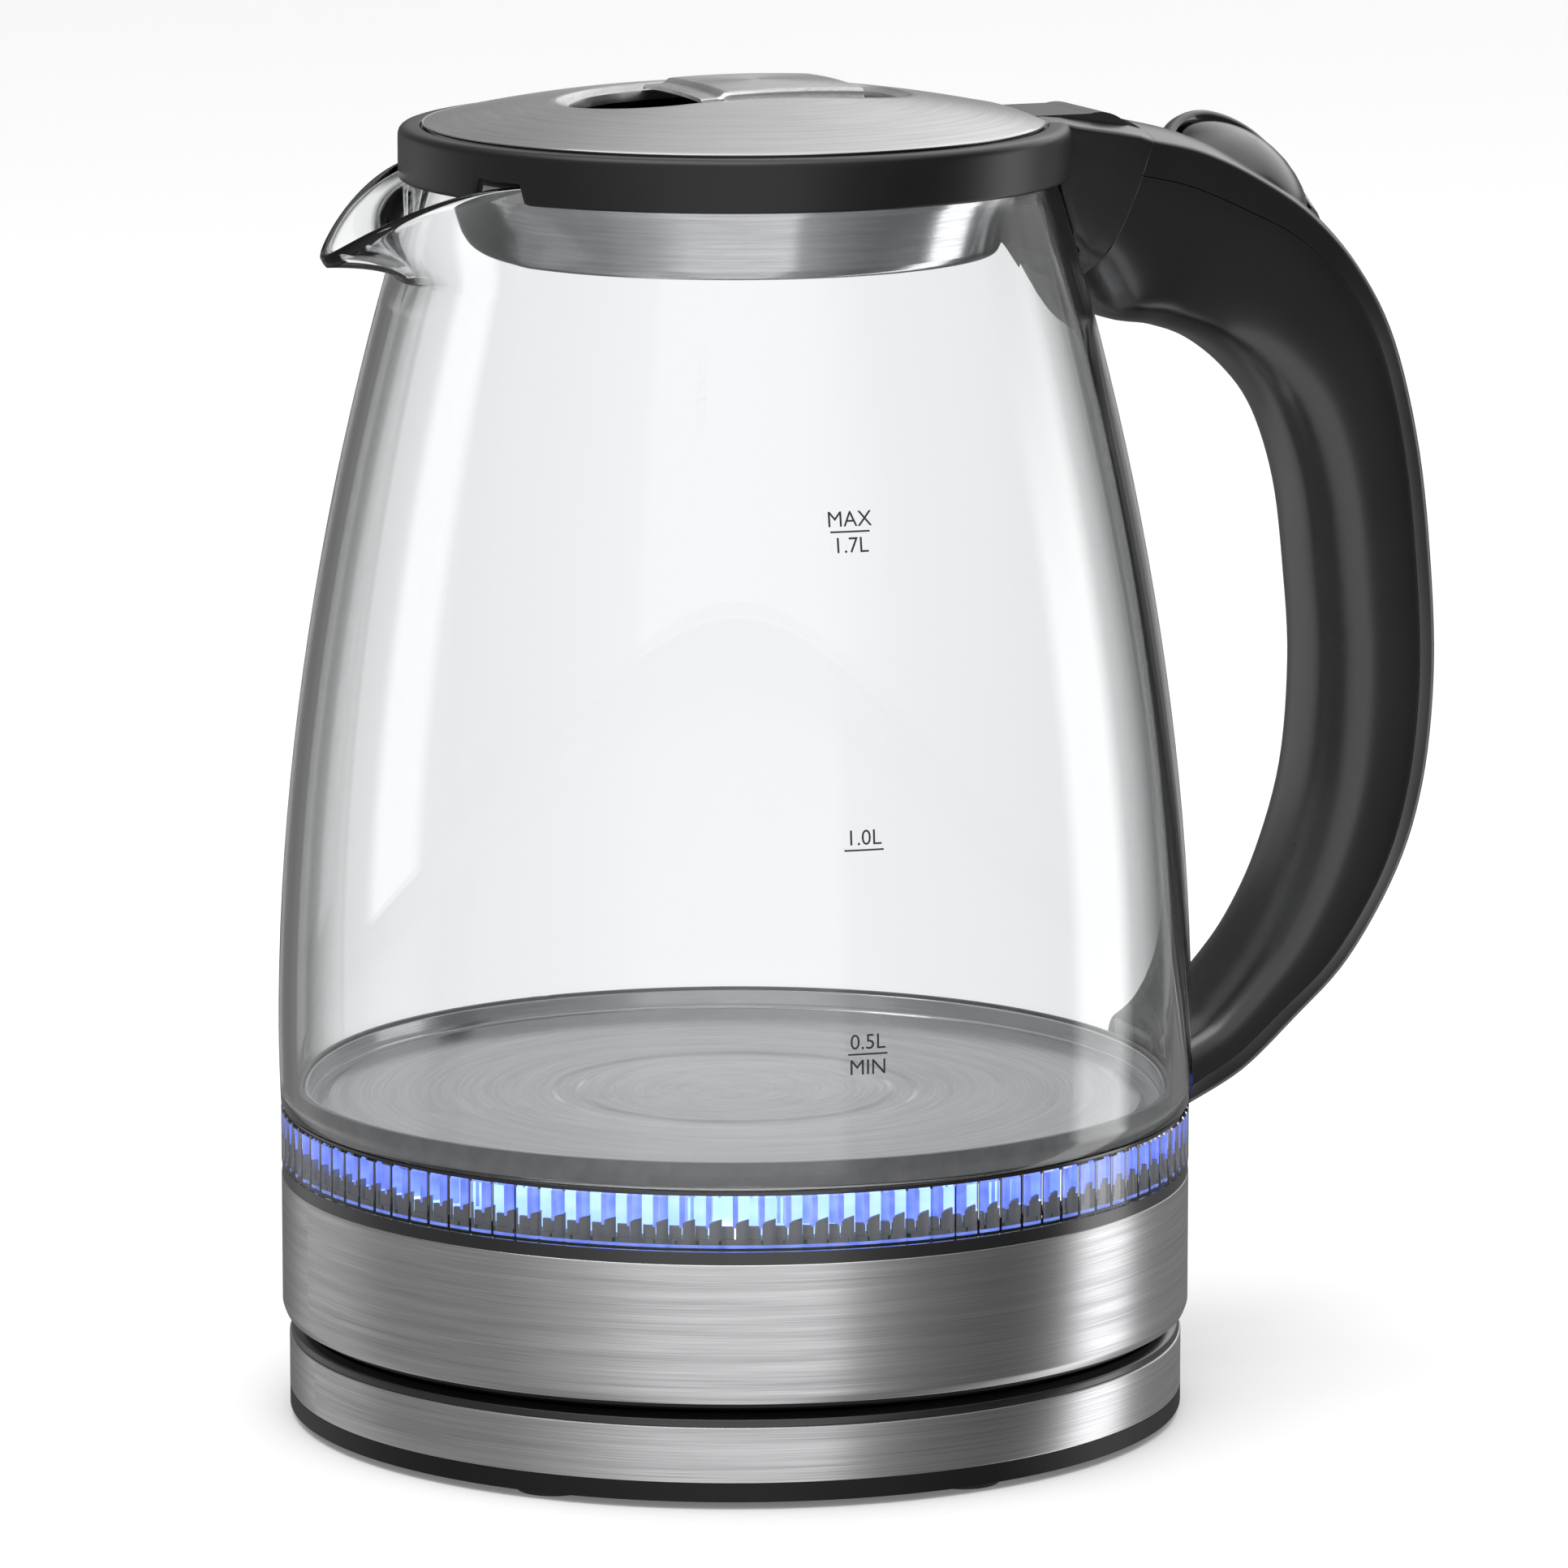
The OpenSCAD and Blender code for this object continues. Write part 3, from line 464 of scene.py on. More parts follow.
# The opening for the power switch in the steel band
WINDOW_HALF_W, WINDOW_LOW, WINDOW_TOP = 6.8, 22.8, 37.2


def make_foot():
    """The steel band, in one piece but for the opening at its back."""
    low, high = span("steel_band")
    r = high.y
    z0, z1 = low.z, high.z
    inside = r - 0.9
    curl = [(inside, z0 + 2.4, 0), (r - 1.3, z0 + 2.1, 0), (r - 1.3, z0 + 0.1, 0.1), (r - 0.5, z0, 0.3),
            (r, z0 + 1.3, 1.6)]
    outline = rounded([(inside, z1, 0.15)] + curl + [(r, z1, 0.25)])
    window = math.degrees(math.asin(WINDOW_HALF_W / r))
    steps = 288
    rows = []
    for k in range(steps + 1):
        angle = mix(window, 360 - window, k / steps)
        rows.append([turn(radius, z, angle) for radius, z in outline])
    above = rounded([(inside, z1, 0.1), (inside, WINDOW_TOP, 0.1), (r, WINDOW_TOP, 0.1), (r, z1, 0.2)])
    below = rounded([(inside, WINDOW_LOW, 0.1)] + curl + [(r, WINDOW_LOW, 0.1)])
    frames = [turned(part, -window, 2 * window, 12) for part in (above, below)]
    piece("foot_band", *join(closed_grid(rows), *frames), "kettle", brushed_steel, "brushed_steel",
          ["steel_band"])


RIBS = 108
RIB_RISE = 0.32
BOARD_TOP = 42.95


def make_light_ring():
    """The ribbed clear ring, with what glows and the grey fence behind it."""
    low, high = span("light_ring")
    r = high.x
    z0, z1 = low.z, high.z
    steps = RIBS * 12
    rows = []
    inner = r - 2.8
    for k in range(steps):
        angle = 360 * k / steps
        rib = inner + RIB_RISE * max(0.0, math.cos(math.radians(angle * RIBS))) ** 4
        wall = [(r, z0 + 0.25), (r, z1 - 0.25), (r - 0.25, z1), (rib, z1), (rib, z0), (r - 0.25, z0)]
        rows.append([turn(radius, z, angle) for radius, z in wall])
    piece("light_ring_lens", *grid(rows, wrap_rows=True), "kettle", clear_plastic, "light_ring",
          ["light_ring"])
    top = z1 - 0.05
    piece("light_guide", *band(66.5, 67.2, BOARD_TOP, top), "kettle", pale_glow, "light_ring")
    fins = []
    teeth = []
    pitch = 360 / RIBS
    for k in range(RIBS):
        angle = 360 * (k + 0.5) / RIBS
        fins.append(tooth(angle, 67.3, 70.9, 0.42, 44.9, top))
        teeth.append(tooth(angle + pitch / 4, 70.3, 70.9, 0.95, BOARD_TOP, 46.0, 0.7))
        teeth.append(tooth(angle - pitch / 4, 70.0, 70.6, 0.85, BOARD_TOP, 45.1))
    piece("light_fins", *join(*fins), "kettle", deep_glow, "light_ring")
    line_low, line_top = z0 + 0.2, z0 + 0.7
    piece("light_line", *band(70.3, 70.95, line_low, line_top), "kettle", deep_glow, "light_ring")
    piece("light_fence_foot", *band(70.3, 70.9, line_top + 0.05, BOARD_TOP + 0.1), "kettle", grey_fence,
          "grey_plastic")
    piece("light_fence", *join(*teeth), "kettle", grey_fence, "grey_plastic")


def band(r0, r1, z0, z1):
    """A ring with a square section."""
    return turned([(r0, z0), (r1, z0), (r1, z1), (r0, z1)])


def tooth(angle, r0, r1, half_width, z0, z1, slope=0.0):
    """A box that points away from the axis, with its top sloping sideways."""
    a = math.radians(angle)
    out = Vector((math.cos(a), math.sin(a), 0))
    side = Vector((-math.sin(a), math.cos(a), 0))
    verts = []
    for radius in (r0, r1):
        for sign in (-1, 1):
            for z in (z0, z1 + sign * slope / 2):
                verts.append(out * radius + side * sign * half_width + Vector((0, 0, z)))
    faces = [(0, 1, 3, 2), (4, 6, 7, 5), (0, 4, 5, 1), (2, 3, 7, 6), (1, 5, 7, 3), (0, 2, 6, 4)]
    return verts, faces


def make_heating_plate():
    """The kettle's steel floor: a raised middle with a pressed ring, a gutter and a flange."""
    high = span("heating_plate")[1]
    r = high.x
    top = high.z - 2.5
    flange = [(r, top - 1.4, 0.3), (r, high.z, 0.3), (r - 0.8, high.z, 0.3), (r - 0.8, top - 0.6, 0.5)]
    outline = [(0, top - 0.8, 0), (66, top - 0.8, 0.3), (68, top - 1.4, 0.5)] + flange
    outline += [(68.2, top - 0.6, 0.6), (66.2, top, 0.8), (30, top, 0.5), (29, top - 0.25, 0.5),
                (26, top - 0.25, 0.5), (25, top, 0.5), (0, top, 0)]
    piece("kettle_floor", *turned(rounded(outline)), "kettle", pan_steel, "polished_steel",
          ["heating_plate"])


# ----- glass carafe

BELLY_R, BELLY_Z, NECK_R = 74.29, 63.0, 51.8
GLASS_T = 2.8
# The spout starts at FLARE_Z, spans twice its half angle and ends in a tip
FLARE_Z = 187.0
SPOUT_HALF_ANGLE = 28.0
TIP_R, TIP_Z = 69.4, 190.2


def body_r(z):
    """Outer radius of the glass at a height."""
    if z < BELLY_Z:
        return BELLY_R - 0.002 * (BELLY_Z - z) ** 2
    return BELLY_R - 0.001886 * (z - BELLY_Z) ** 1.905


def lip_share(angle, power):
    """How far the lip has turned from rim to spout, at an angle from the spout's middle."""
    from_tip = math.sqrt(angle * angle + 4) - 2
    return max(0.0, 1 - from_tip / SPOUT_HALF_ANGLE) ** power


def make_glass():
    """The carafe: one wall, turned about the axis and drawn out into the spout."""
    low, high = span("glass_carafe")
    z0 = low.z
    rim_z = high.z - 0.7
    flare_out = (body_r(FLARE_Z), FLARE_Z)
    flare_in = (flare_out[0] - GLASS_T, FLARE_Z)

    def neck(t, inside):
        z = mix(FLARE_Z, rim_z, t)
        return (max(NECK_R, body_r(z)) - (GLASS_T if inside else 0), z)

    def spout(t, inside):
        if inside:
            return bezier(flare_in, (56, 192.4), (TIP_R - 0.8, TIP_Z + 2.4), t)
        return bezier(flare_out, (58.5, 189.9), (TIP_R, TIP_Z), t)

    def flared(neck_point, spout_point, angle):
        reach = lip_share(angle, 1.3)
        drop = lip_share(angle, 2.1)
        return (mix(neck_point[0], spout_point[0], reach), mix(neck_point[1], spout_point[1], drop))

    walls = [z0 + 0.5, 54, 57, 60, 63] + list(range(68, 187, 6))
    steps = [k / 14 for k in range(15)]

    def section(angle):
        out = [(body_r(z), z) for z in walls]
        out += [flared(neck(t, False), spout(t, False), angle) for t in steps]
        a, b = out[-1], flared(neck(1, True), spout(1, True), angle)
        crown = flared((NECK_R - GLASS_T / 2, rim_z + 0.7), (TIP_R + 0.9, TIP_Z + 1.7), angle)
        peak = (2 * crown[0] - (a[0] + b[0]) / 2, 2 * crown[1] - (a[1] + b[1]) / 2)
        out += [bezier(a, peak, b, t / 6) for t in range(1, 6)]
        out += [flared(neck(t, True), spout(t, True), angle) for t in reversed(steps)]
        out += [(body_r(z) - GLASS_T, z) for z in reversed(walls)]
        out += [(body_r(z0) - GLASS_T + 0.5, z0), (body_r(z0) - 0.5, z0)]
        return out

    angles = list(range(-45, 45)) + list(range(45, 315, 3))
    rows = []
    for a in angles:
        signed = abs(a - 360 if a > 180 else a)
        rows.append([turn(r, z, a + 180) for r, z in section(signed)])
    obj = piece("carafe", *grid(rows, wrap_rows=True), "kettle", glass, "glass", ["glass_carafe"],
                sharp=60)
    obj.visible_shadow = False


# ----- volume marks

MARK_ANGLE = -95.5
MARK_HEIGHT = 2.4
# Blender's font size for letters of height 1
FONT_SCALE = 1.42


def wrap_on_glass(verts, proud=0.06):
    """Moves flat artwork, x to the right and y up, in millimetres, onto the outside of the glass."""
    out = []
    for x, z in verts:
        r = body_r(z) + proud
        out.append(turn(r, z, MARK_ANGLE + math.degrees(x / r)))
    return out


def mark_text(words, z):
    """Flat letters as (vertices, faces), with their foot at z."""
    curve = bpy.data.curves.new("letters", "FONT")
    curve.body = words
    curve.size = MARK_HEIGHT * FONT_SCALE
    curve.align_x = "CENTER"
    curve.resolution_u = 3
    holder = bpy.data.objects.new("letters", curve)
    bpy.context.scene.collection.objects.link(holder)
    mesh = holder.to_mesh()
    tidy = bmesh.new()
    tidy.from_mesh(mesh)
    bmesh.ops.triangulate(tidy, faces=tidy.faces)
    verts = [(v.co.x, v.co.y + z) for v in tidy.verts]
    faces = [tuple(v.index for v in f.verts) for f in tidy.faces]
    tidy.free()
    holder.to_mesh_clear()
    bpy.data.objects.remove(holder)
    bpy.data.curves.remove(curve)
    return verts, faces


def mark_line(z, width=6.4, thick=0.28):
    """A flat line, cut up so that it bends with the glass."""
    cuts = 12
    verts = [(width * (k / cuts - 0.5), z + side * thick / 2) for k in range(cuts + 1) for side in (-1, 1)]
    faces = [(2 * k, 2 * k + 2, 2 * k + 3, 2 * k + 1) for k in range(cuts)]
    return verts, faces


def make_marks():
    """The printed volume marks, from the lowest up."""
    art = [mark_text("MIN", 69.4), mark_line(72.6), mark_text("0.5L", 73.4),
           mark_line(104.5), mark_text("1.0L", 105.3),
           mark_text("1.7L", 150.2), mark_line(153.4), mark_text("MAX", 154.2)]
    verts, faces = join(*art)
    piece("volume_marks", wrap_on_glass(verts), faces, "kettle", ink)


# ----- rim collar

COLLAR_INNER, COLLAR_BORE = 52.5, 48.0
COLLAR_GAP_HALF_W = 18.0
# Where the edges of the lip cross the collar, in degrees from the spout's middle
NOTCH_ANGLE, NOTCH_HALF = 25, 5.9


def make_collar():
    """The black ring on the rim of the glass, open at the back for the handle."""
    low, high = span("rim_collar")
    r, top = high.y, high.z
    cover_z = 205.8
    shelf_z = top - 0.45
    half = math.degrees(math.asin(COLLAR_GAP_HALF_W / 51))
    steps = 300

    def section(angle):
        lift = max(notch(angle - 180 - side * NOTCH_ANGLE) for side in (-1, 1))
        foot = mix(low.z, cover_z - 0.5, lift)
        return rounded([(COLLAR_BORE, cover_z, 0.1), (COLLAR_INNER, cover_z, 0.1),
                        (COLLAR_INNER, foot + 0.6, 0.2), (COLLAR_INNER + 0.3, foot, 0.3),
                        (r, foot, min(5.0, (top - foot) * 0.5)), (r, top, 5.0), (r - 3.5, top, 0.3),
                        (r - 3.7, shelf_z, 0.2), (COLLAR_BORE, shelf_z, 0.2)], 6)

    rows = []
    for k in range(steps + 1):
        angle = mix(half, 360 - half, k / steps)
        rows.append([turn(radius, z, angle) for radius, z in section(angle)])
    piece("collar", *closed_grid(rows), "kettle", satin_black, "black_plastic", ["rim_collar"])


def notch(angle):
    """1 where the lip crosses the collar, falling to 0 at the notch's sides."""
    return ramp((NOTCH_HALF - abs(angle)) / 0.6)


# ----- lid

SLOT_HALF_L, SLOT_HALF_W = 27.4, 13.0
DISC_R, DOME_H = 50.4, 5.8
DISC_SHEET = 0.8
DOME_R = (DISC_R ** 2 + DOME_H ** 2) / (2 * DOME_H)


def dome_at(r, disc_z):
    """Height of the lid's dome at a radius."""
    return disc_z + DOME_H - DOME_R + math.sqrt(DOME_R ** 2 - r * r)


def slot_point(t, grow=0.0):
    """A point on the slot's outline at a share t of the way round it."""
    straight = 2 * (SLOT_HALF_L - SLOT_HALF_W)
    radius = SLOT_HALF_W + grow
    arc = math.pi * SLOT_HALF_W
    way = (t % 1.0) * (2 * straight + 2 * arc)
    if way < straight:
        return (straight / 2 - way, radius)
    way -= straight
    if way < arc:
        a = math.pi / 2 + way / SLOT_HALF_W
        return (-straight / 2 + radius * math.cos(a), radius * math.sin(a))
    way -= arc
    if way < straight:
        return (-straight / 2 + way, -radius)
    way -= straight
    a = -math.pi / 2 + way / SLOT_HALF_W
    return (straight / 2 + radius * math.cos(a), radius * math.sin(a))


def rim_point(direction, chord, r):
    """The disc's edge in a direction: its circle, or its straight rear edge."""
    x, y = r * direction.x, r * direction.y
    if x > chord:
        y *= chord / x
        x = chord
    return Vector((x, y))


def make_lid():
    """The domed steel disc with its slot, and the grip and the skirt."""
    low, high = span("lid_disc")
    disc_z = low.z
    chord = high.x - 0.05
    count = 240
    shares = [(k / 26) ** 0.9 for k in range(27)]
    # How far out of the slot's edge, and how far under the dome
    slope = ((0.0, 2.6), (0.0, 1.25), (0.12, 1.02), (0.5, 0.85), (1.3, 0.52), (1.9, 0.24), (2.15, 0.08))

    def on_dome(spot, sink):
        return (spot.x, spot.y, dome_at(spot.length, disc_z) - sink)

    rows = []
    for k in range(count):
        foot = Vector(slot_point(k / count, 2.4))
        rim = rim_point(foot.normalized(), chord, DISC_R - 0.3)
        edge = rim * 0.985
        column = [on_dome(Vector(slot_point(k / count, grow)), sink) for grow, sink in slope]
        column += [on_dome(foot.lerp(rim, share * 0.985), 0.0) for share in shares]
        column += [on_dome(edge.lerp(rim, 0.6), 0.08), on_dome(rim, -0.05), (rim.x, rim.y, disc_z),
                   (edge.x, edge.y, disc_z)]
        column += [on_dome(foot.lerp(rim, share * 0.975), DISC_SHEET) for share in reversed(shares)]
        column.append(on_dome(foot, 2.6))
        rows.append(column)
    piece("lid_dome", *grid(rows, wrap_rows=True), "lid", lid_steel, "brushed_steel", ["lid_disc"])
    make_grip(disc_z)
    make_skirt()


def make_grip(disc_z):
    """The plate that bridges the slot, with four edges that fall off."""
    low, high = span("lid_grip")
    half_l, half_w = (high.x - low.x) / 2, high.y
    centre = (low.x + high.x) / 2
    count_x, count_y = 40, 40
    rise, thick = 0.88, 1.9
    fall, fall_w = 0.75, 1.1

    def drop(to_edge):
        inward = min(1.0, to_edge / fall_w)
        return fall * (1 - math.sqrt(max(0.0, 1 - (1 - inward) ** 2)))

    def height(x, y, side):
        fallen = drop(half_w - abs(y)) + drop(half_l - abs(x - centre))
        middle = dome_at(math.hypot(x, y), disc_z) + rise
        return middle - fallen if side > 0 else middle - thick + fallen * 0.7

    def spot(k, count, half):
        s = 2 * k / count - 1
        return half * math.sin(s * math.pi / 2)

    verts = []
    for side in (1, -1):
        for j in range(count_y + 1):
            for i in range(count_x + 1):
                x, y = spot(i, count_x, half_l), spot(j, count_y, half_w)
                verts.append((x + centre, y, height(x, y, side)))
    row = count_x + 1
    layer = row * (count_y + 1)
    faces = grid_faces(count_y + 1, row, False, False)
    faces += grid_faces(count_y + 1, row, False, False, layer)
    border = [j * row for j in range(count_y + 1)]
    border += [count_y * row + i for i in range(1, row)]
    border += [j * row + count_x for j in range(count_y - 1, -1, -1)]
    border += list(range(count_x - 1, 0, -1))
    for a, b in zip(border, border[1:] + border[:1]):
        faces.append((a, b, b + layer, a + layer))
    piece("lid_bridge", verts, faces, "lid", lid_steel, "brushed_steel", ["lid_grip"])


def make_skirt():
    """The steel pan that hangs into the neck."""
    low, high = span("lid_skirt")
    r_top, r_low = high.y, 42.8
    z0, z1 = low.z, high.z
    sheet = 0.6
    outline = rounded([(0, z0, 0), (r_low - 0.6, z0, 1.2), (r_low, z0 + 1.4, 0.8), (r_top - 0.3, z1 - 3, 2),
                       (r_top, z1, 0.1), (r_top - sheet, z1, 0.1), (r_low - 0.7, z0 + 1.6, 1),
                       (r_low - 1.2, z0 + sheet, 0.5), (0, z0 + sheet, 0)], 5)
    piece("lid_pan", *turned(outline), "lid", pan_steel, "polished_steel", ["lid_skirt"])


# ----- handle

# Stations along the handle from the nose to its foot: its outer and inner line as (x, z), half its
# width, and how far the spine cover reaches in from the outer line.
HANDLE_OUT = [(67.7, 208.45), (77.3, 206), (87.7, 201.2), (98.5, 194.1), (107.6, 184.4),
              (114.3, 172.1), (119.2, 153.2), (121.7, 132), (122.3, 114), (120.5, 96.9),
              (116, 82.8), (107.1, 67.9), (97, 58), (86.6, 49.3), (75.6, 44)]
HANDLE_IN = [(56.9, 184.2), (62.9, 176.8), (71.8, 174.8), (80.8, 171.6), (88.6, 165.7),
             (94.3, 158), (98.4, 145.9), (100.4, 130.9), (101.4, 116), (100.1, 98.6),
             (95.8, 83.9), (90.6, 73.5), (85, 66.2), (79.9, 61.1), (75.6, 58.6)]
HANDLE_HALF_W = [17.0, 16.1, 15, 14.2, 13.6, 13.2, 13.1, 13.1, 13.1, 13.1, 13.1, 13.1, 13.2, 13.5, 13.8]
COVER_DEPTH = [8.3, 8.3, 8, 6.8, 6, 5.7, 5.7, 5.7, 5.7, 5.7, 5.7, 5.7, 5.7, 5.7, 5.7]
WALL = 2.4
# The shell's section is an oval with this power, so 2 is round and more is squarer
SQUARENESS = 3.0
# Height of the spine's crown, how far its edges stand in from the seam, and the seam's gap
CROWN = 2.3
EDGE_IN = 1.2
EDGE_ROUND = 0.8
SEAM_GAP = 0.14


def signed_power(v, power):
    """A power of the value's size, with the value's sign."""
    return math.copysign(abs(v) ** power, v)


def side_at(u, a, b):
    """Half width of the shell's section where its first coordinate is u."""
    return b * (1 - min(1.0, abs(u) / a) ** SQUARENESS) ** (1 / SQUARENESS)


def crown_line(top, half, crown, count=20):
    """Points over the spine's crown between its rounded edges, each half away from the middle."""
    def at(y):
        return (top - crown * (y / half) ** 2, y)

    reach = half - EDGE_ROUND
    line = [at(reach * (2 * k / count - 1)) for k in range(count + 1)]
    for side in (-1, 1):
        start = (top - crown - EDGE_ROUND, side * (half + EDGE_ROUND * 0.2))
        turned_edge = [bezier(start, at(side * half), at(side * reach), t / 4) for t in range(4)]
        line = turned_edge + line if side < 0 else line + turned_edge[::-1]
    return line


def spine_line(a, b, u, inset):
    """The spine's section from one seam over the crown to the other, moved in by inset."""
    y = side_at(u, a, b) - inset
    return [(u, -y)] + crown_line(a - inset, y - EDGE_IN, CROWN) + [(u, y)]


def make_handle():
    """The C-shaped shell with its spine cover, and the nose that holds it to the rim."""
    steps = 6
    outer = smooth_line(HANDLE_OUT, steps)
    inner = smooth_line(HANDLE_IN, steps)
    width = [w for w, in smooth_line([(w,) for w in HANDLE_HALF_W], steps)]
    depth = [d for d, in smooth_line([(d,) for d in COVER_DEPTH], steps)]

    def seam_angle(a, u):
        return math.acos(math.copysign((abs(u) / a) ** (SQUARENESS / 2), u))

    def arc(a, b, first, count=48):
        angles = [mix(first, 2 * math.pi - first, k / count) for k in range(count + 1)]
        power = 2 / SQUARENESS
        return [(a * signed_power(math.cos(s), power), b * signed_power(math.sin(s), power)) for s in angles]

    def place(j, points):
        o, i = Vector(outer[j]), Vector(inner[j])
        across = (o - i).normalized()
        centre = (o + i) / 2
        return [(centre.x + across.x * u, y, centre.y + across.y * u) for u, y in points]

    # One more station, inside the nose
    start = [Vector(mix(Vector(p[0]), Vector(p[1]), -0.12)) for p in (outer, inner)]
    outer.insert(0, tuple(start[0]))
    inner.insert(0, tuple(start[1]))
    width.insert(0, width[0] - 0.15)
    depth.insert(0, depth[0])
    shell_rows, cover_rows = [], []
    for j in range(len(outer)):
        a, b = (Vector(outer[j]) - Vector(inner[j])).length / 2, width[j]
        u = a - depth[j]
        outside = arc(a, b, seam_angle(a, u))
        inside = arc(a - WALL, b - WALL, seam_angle(a - WALL, min(u, a - WALL - 0.25)))
        shell_rows.append(place(j, outside + inside[::-1]))
        u += SEAM_GAP
        cover_rows.append(place(j, spine_line(a, b, u, 0) + spine_line(a, b, u, WALL)[::-1]))
    shell = piece("handle_body", *grid(shell_rows, capped=True), "kettle", black, "black_plastic",
                  ["handle_shell"])
    bevel(shell, 0.3)
    cover = piece("handle_spine", *grid(cover_rows, capped=True), "kettle", black, "black_plastic",
                  ["handle_cover"])
    bevel(cover, 0.22, 2)
    make_nose(outer[1], inner[1], width[1], depth[1])


def by_the_glass(y, z):
    """X of a point that stands just clear of the glass."""
    return math.sqrt((max(NECK_R, body_r(z)) + 0.45) ** 2 - y * y)


def make_nose(top_end, bottom_end, half_w, seam_depth):
    """The block between handle and lid: two cheeks beside the hinge arm and a bridge below it."""
    low, high = span("handle_nose")
    half = (Vector(top_end) - Vector(bottom_end)).length / 2
    slot = 9.4
    clear = 0.2
    tops = [(low.x, high.z - 0.25), (49.6, high.z), (52.6, 210.6), (54.4, 210.42), (57.4, 210.1),
            (61.4, 209.6), (65.4, 208.95), top_end]
    # A foot without an x stands beside the glass
    feet = [(low.x, 206.3), (48, 206.1), (None, 205.6), (None, 203), (None, 199), (None, 193),
            (None, 187.2), bottom_end]
    last = len(tops) - 1
    edge = side_at(half - seam_depth, half, half_w) - EDGE_IN
    parts = []
    for side in (-1, 1):
        rows = []
        for k, ((top_x, top_z), (foot_x, foot_z)) in enumerate(zip(tops, feet)):
            crown = mix(0.5, CROWN, k / last)

            def place(share, y):
                x = by_the_glass(y, foot_z) if foot_x is None else foot_x
                return (mix(top_x, x, share), side * y, mix(top_z, foot_z, share))

            length = math.hypot(top_x - (foot_x or 53), top_z - foot_z)
            line = [(-u / length, y) for u, y in crown_line(0, edge, crown) if y > slot + clear]
            line = [(crown * (slot / edge) ** 2 / length, slot)] + line
            first = line[-1][0]
            for step in (0.12, 0.25, 0.4, 0.55, 0.7, 0.85, 0.93, 1.0):
                share = mix(first, 1.0, step)
                d = share * length
                if d < seam_depth:
                    y = edge + EDGE_IN * (d - first * length) / (seam_depth - first * length)
                else:
                    y = max(slot + clear, side_at(half - d, half, half_w))
                line.append((share, y))
            line.append((1.0, slot))
            swell = 0.6 * (1 - k / last)
            rows.append([place(share, y + (swell if y > slot else 0)) for share, y in line])
        parts.append(closed_grid(rows))
    bridge = [(54.1, 196.7), (54.9, 193), (56.7, 187.2), (57.4, 185.4), (62.3, 196.7)]
    parts.append(closed_grid([[(x, y, z) for x, z in bridge] for y in (-slot, slot)]))
    piece("nose", *join(*parts), "kettle", black, "black_plastic", ["handle_nose"])


# ----- lid button

BUTTON_AT = Vector((91.4, 0, 202.3))
BUTTON_TILT, BUTTON_LEAN = math.radians(23.2), math.radians(20)
BUTTON_R, BUTTON_HALF_L = 10.6, 1.6
# The lip behind the button: its top is an arch that leans to the front
ARCH_R = 25.0
LIP_INNER, LIP_OUTER = 11.15, 13.2
# Steps round an oval
OVAL_STEPS = 144


def on_button(x, y, z):
    """A point in the button's own frame, as a point in the kettle's."""
    return BUTTON_AT + Matrix.Rotation(BUTTON_TILT, 3, "Y") @ Vector((x, y, z))


def lip_height(x, y):
    """Height of the lip's arched and leaning top over a point of the button's frame."""
    lean = math.tan(BUTTON_LEAN)
    return (math.sqrt(ARCH_R ** 2 - x * x) - ARCH_R) / math.cos(BUTTON_LEAN) + y * lean


def dome_height(x, y):
    """Height of the button's domed and leaning top."""
    c, s = math.cos(BUTTON_LEAN), math.sin(BUTTON_LEAN)
    level = 1.8 - ARCH_R
    rest = 1 - (x / (0.8 * ARCH_R)) ** 2
    half = level * c
    return half + math.sqrt(max(0.0, half * half - (y * y + level * level + 2 * y * level * s
                                                    - ARCH_R ** 2 * rest)))


def oval_point(t, radius, half_l):
    """A point on an oval at a share t of the way round."""
    a = 2 * math.pi * t
    x, y = math.cos(a), math.sin(a)
    return (radius * x + math.copysign(half_l, x) * min(1.0, abs(x) * 6), radius * y)


def make_lip():
    """The half oval that stands up behind the button."""
    profile = ((LIP_INNER, 1.0), (11.3, 0.4), (11.7, 0.08), (12.2, 0), (12.7, 0.12), (13.05, 0.5),
               (LIP_OUTER, 1.2))

    def spot(share, r):
        return oval_point(share, r, mix(1.6, 2.2, (r - LIP_INNER) / (LIP_OUTER - LIP_INNER)))

    def foot(share, r):
        """Below the handle's surface, but clear of the latch at the left end."""
        x, y = spot(share, r)
        return on_button(x, y, min(lip_height(x, y) - 1.3, -6.4 - 2.6 * ramp(x / 8)))

    rows = []
    for k in range(-6, 64):
        share = k / OVAL_STEPS
        column = [foot(share, LIP_INNER)]
        for r, sink in profile:
            x, y = spot(share, r)
            column.append(on_button(x, y, lip_height(x, y) - sink))
        rows.append(column + [foot(share, LIP_OUTER)])
    piece("button_rim", *closed_grid(rows), "kettle", gloss_black, "gloss_black", ["button_bezel"])


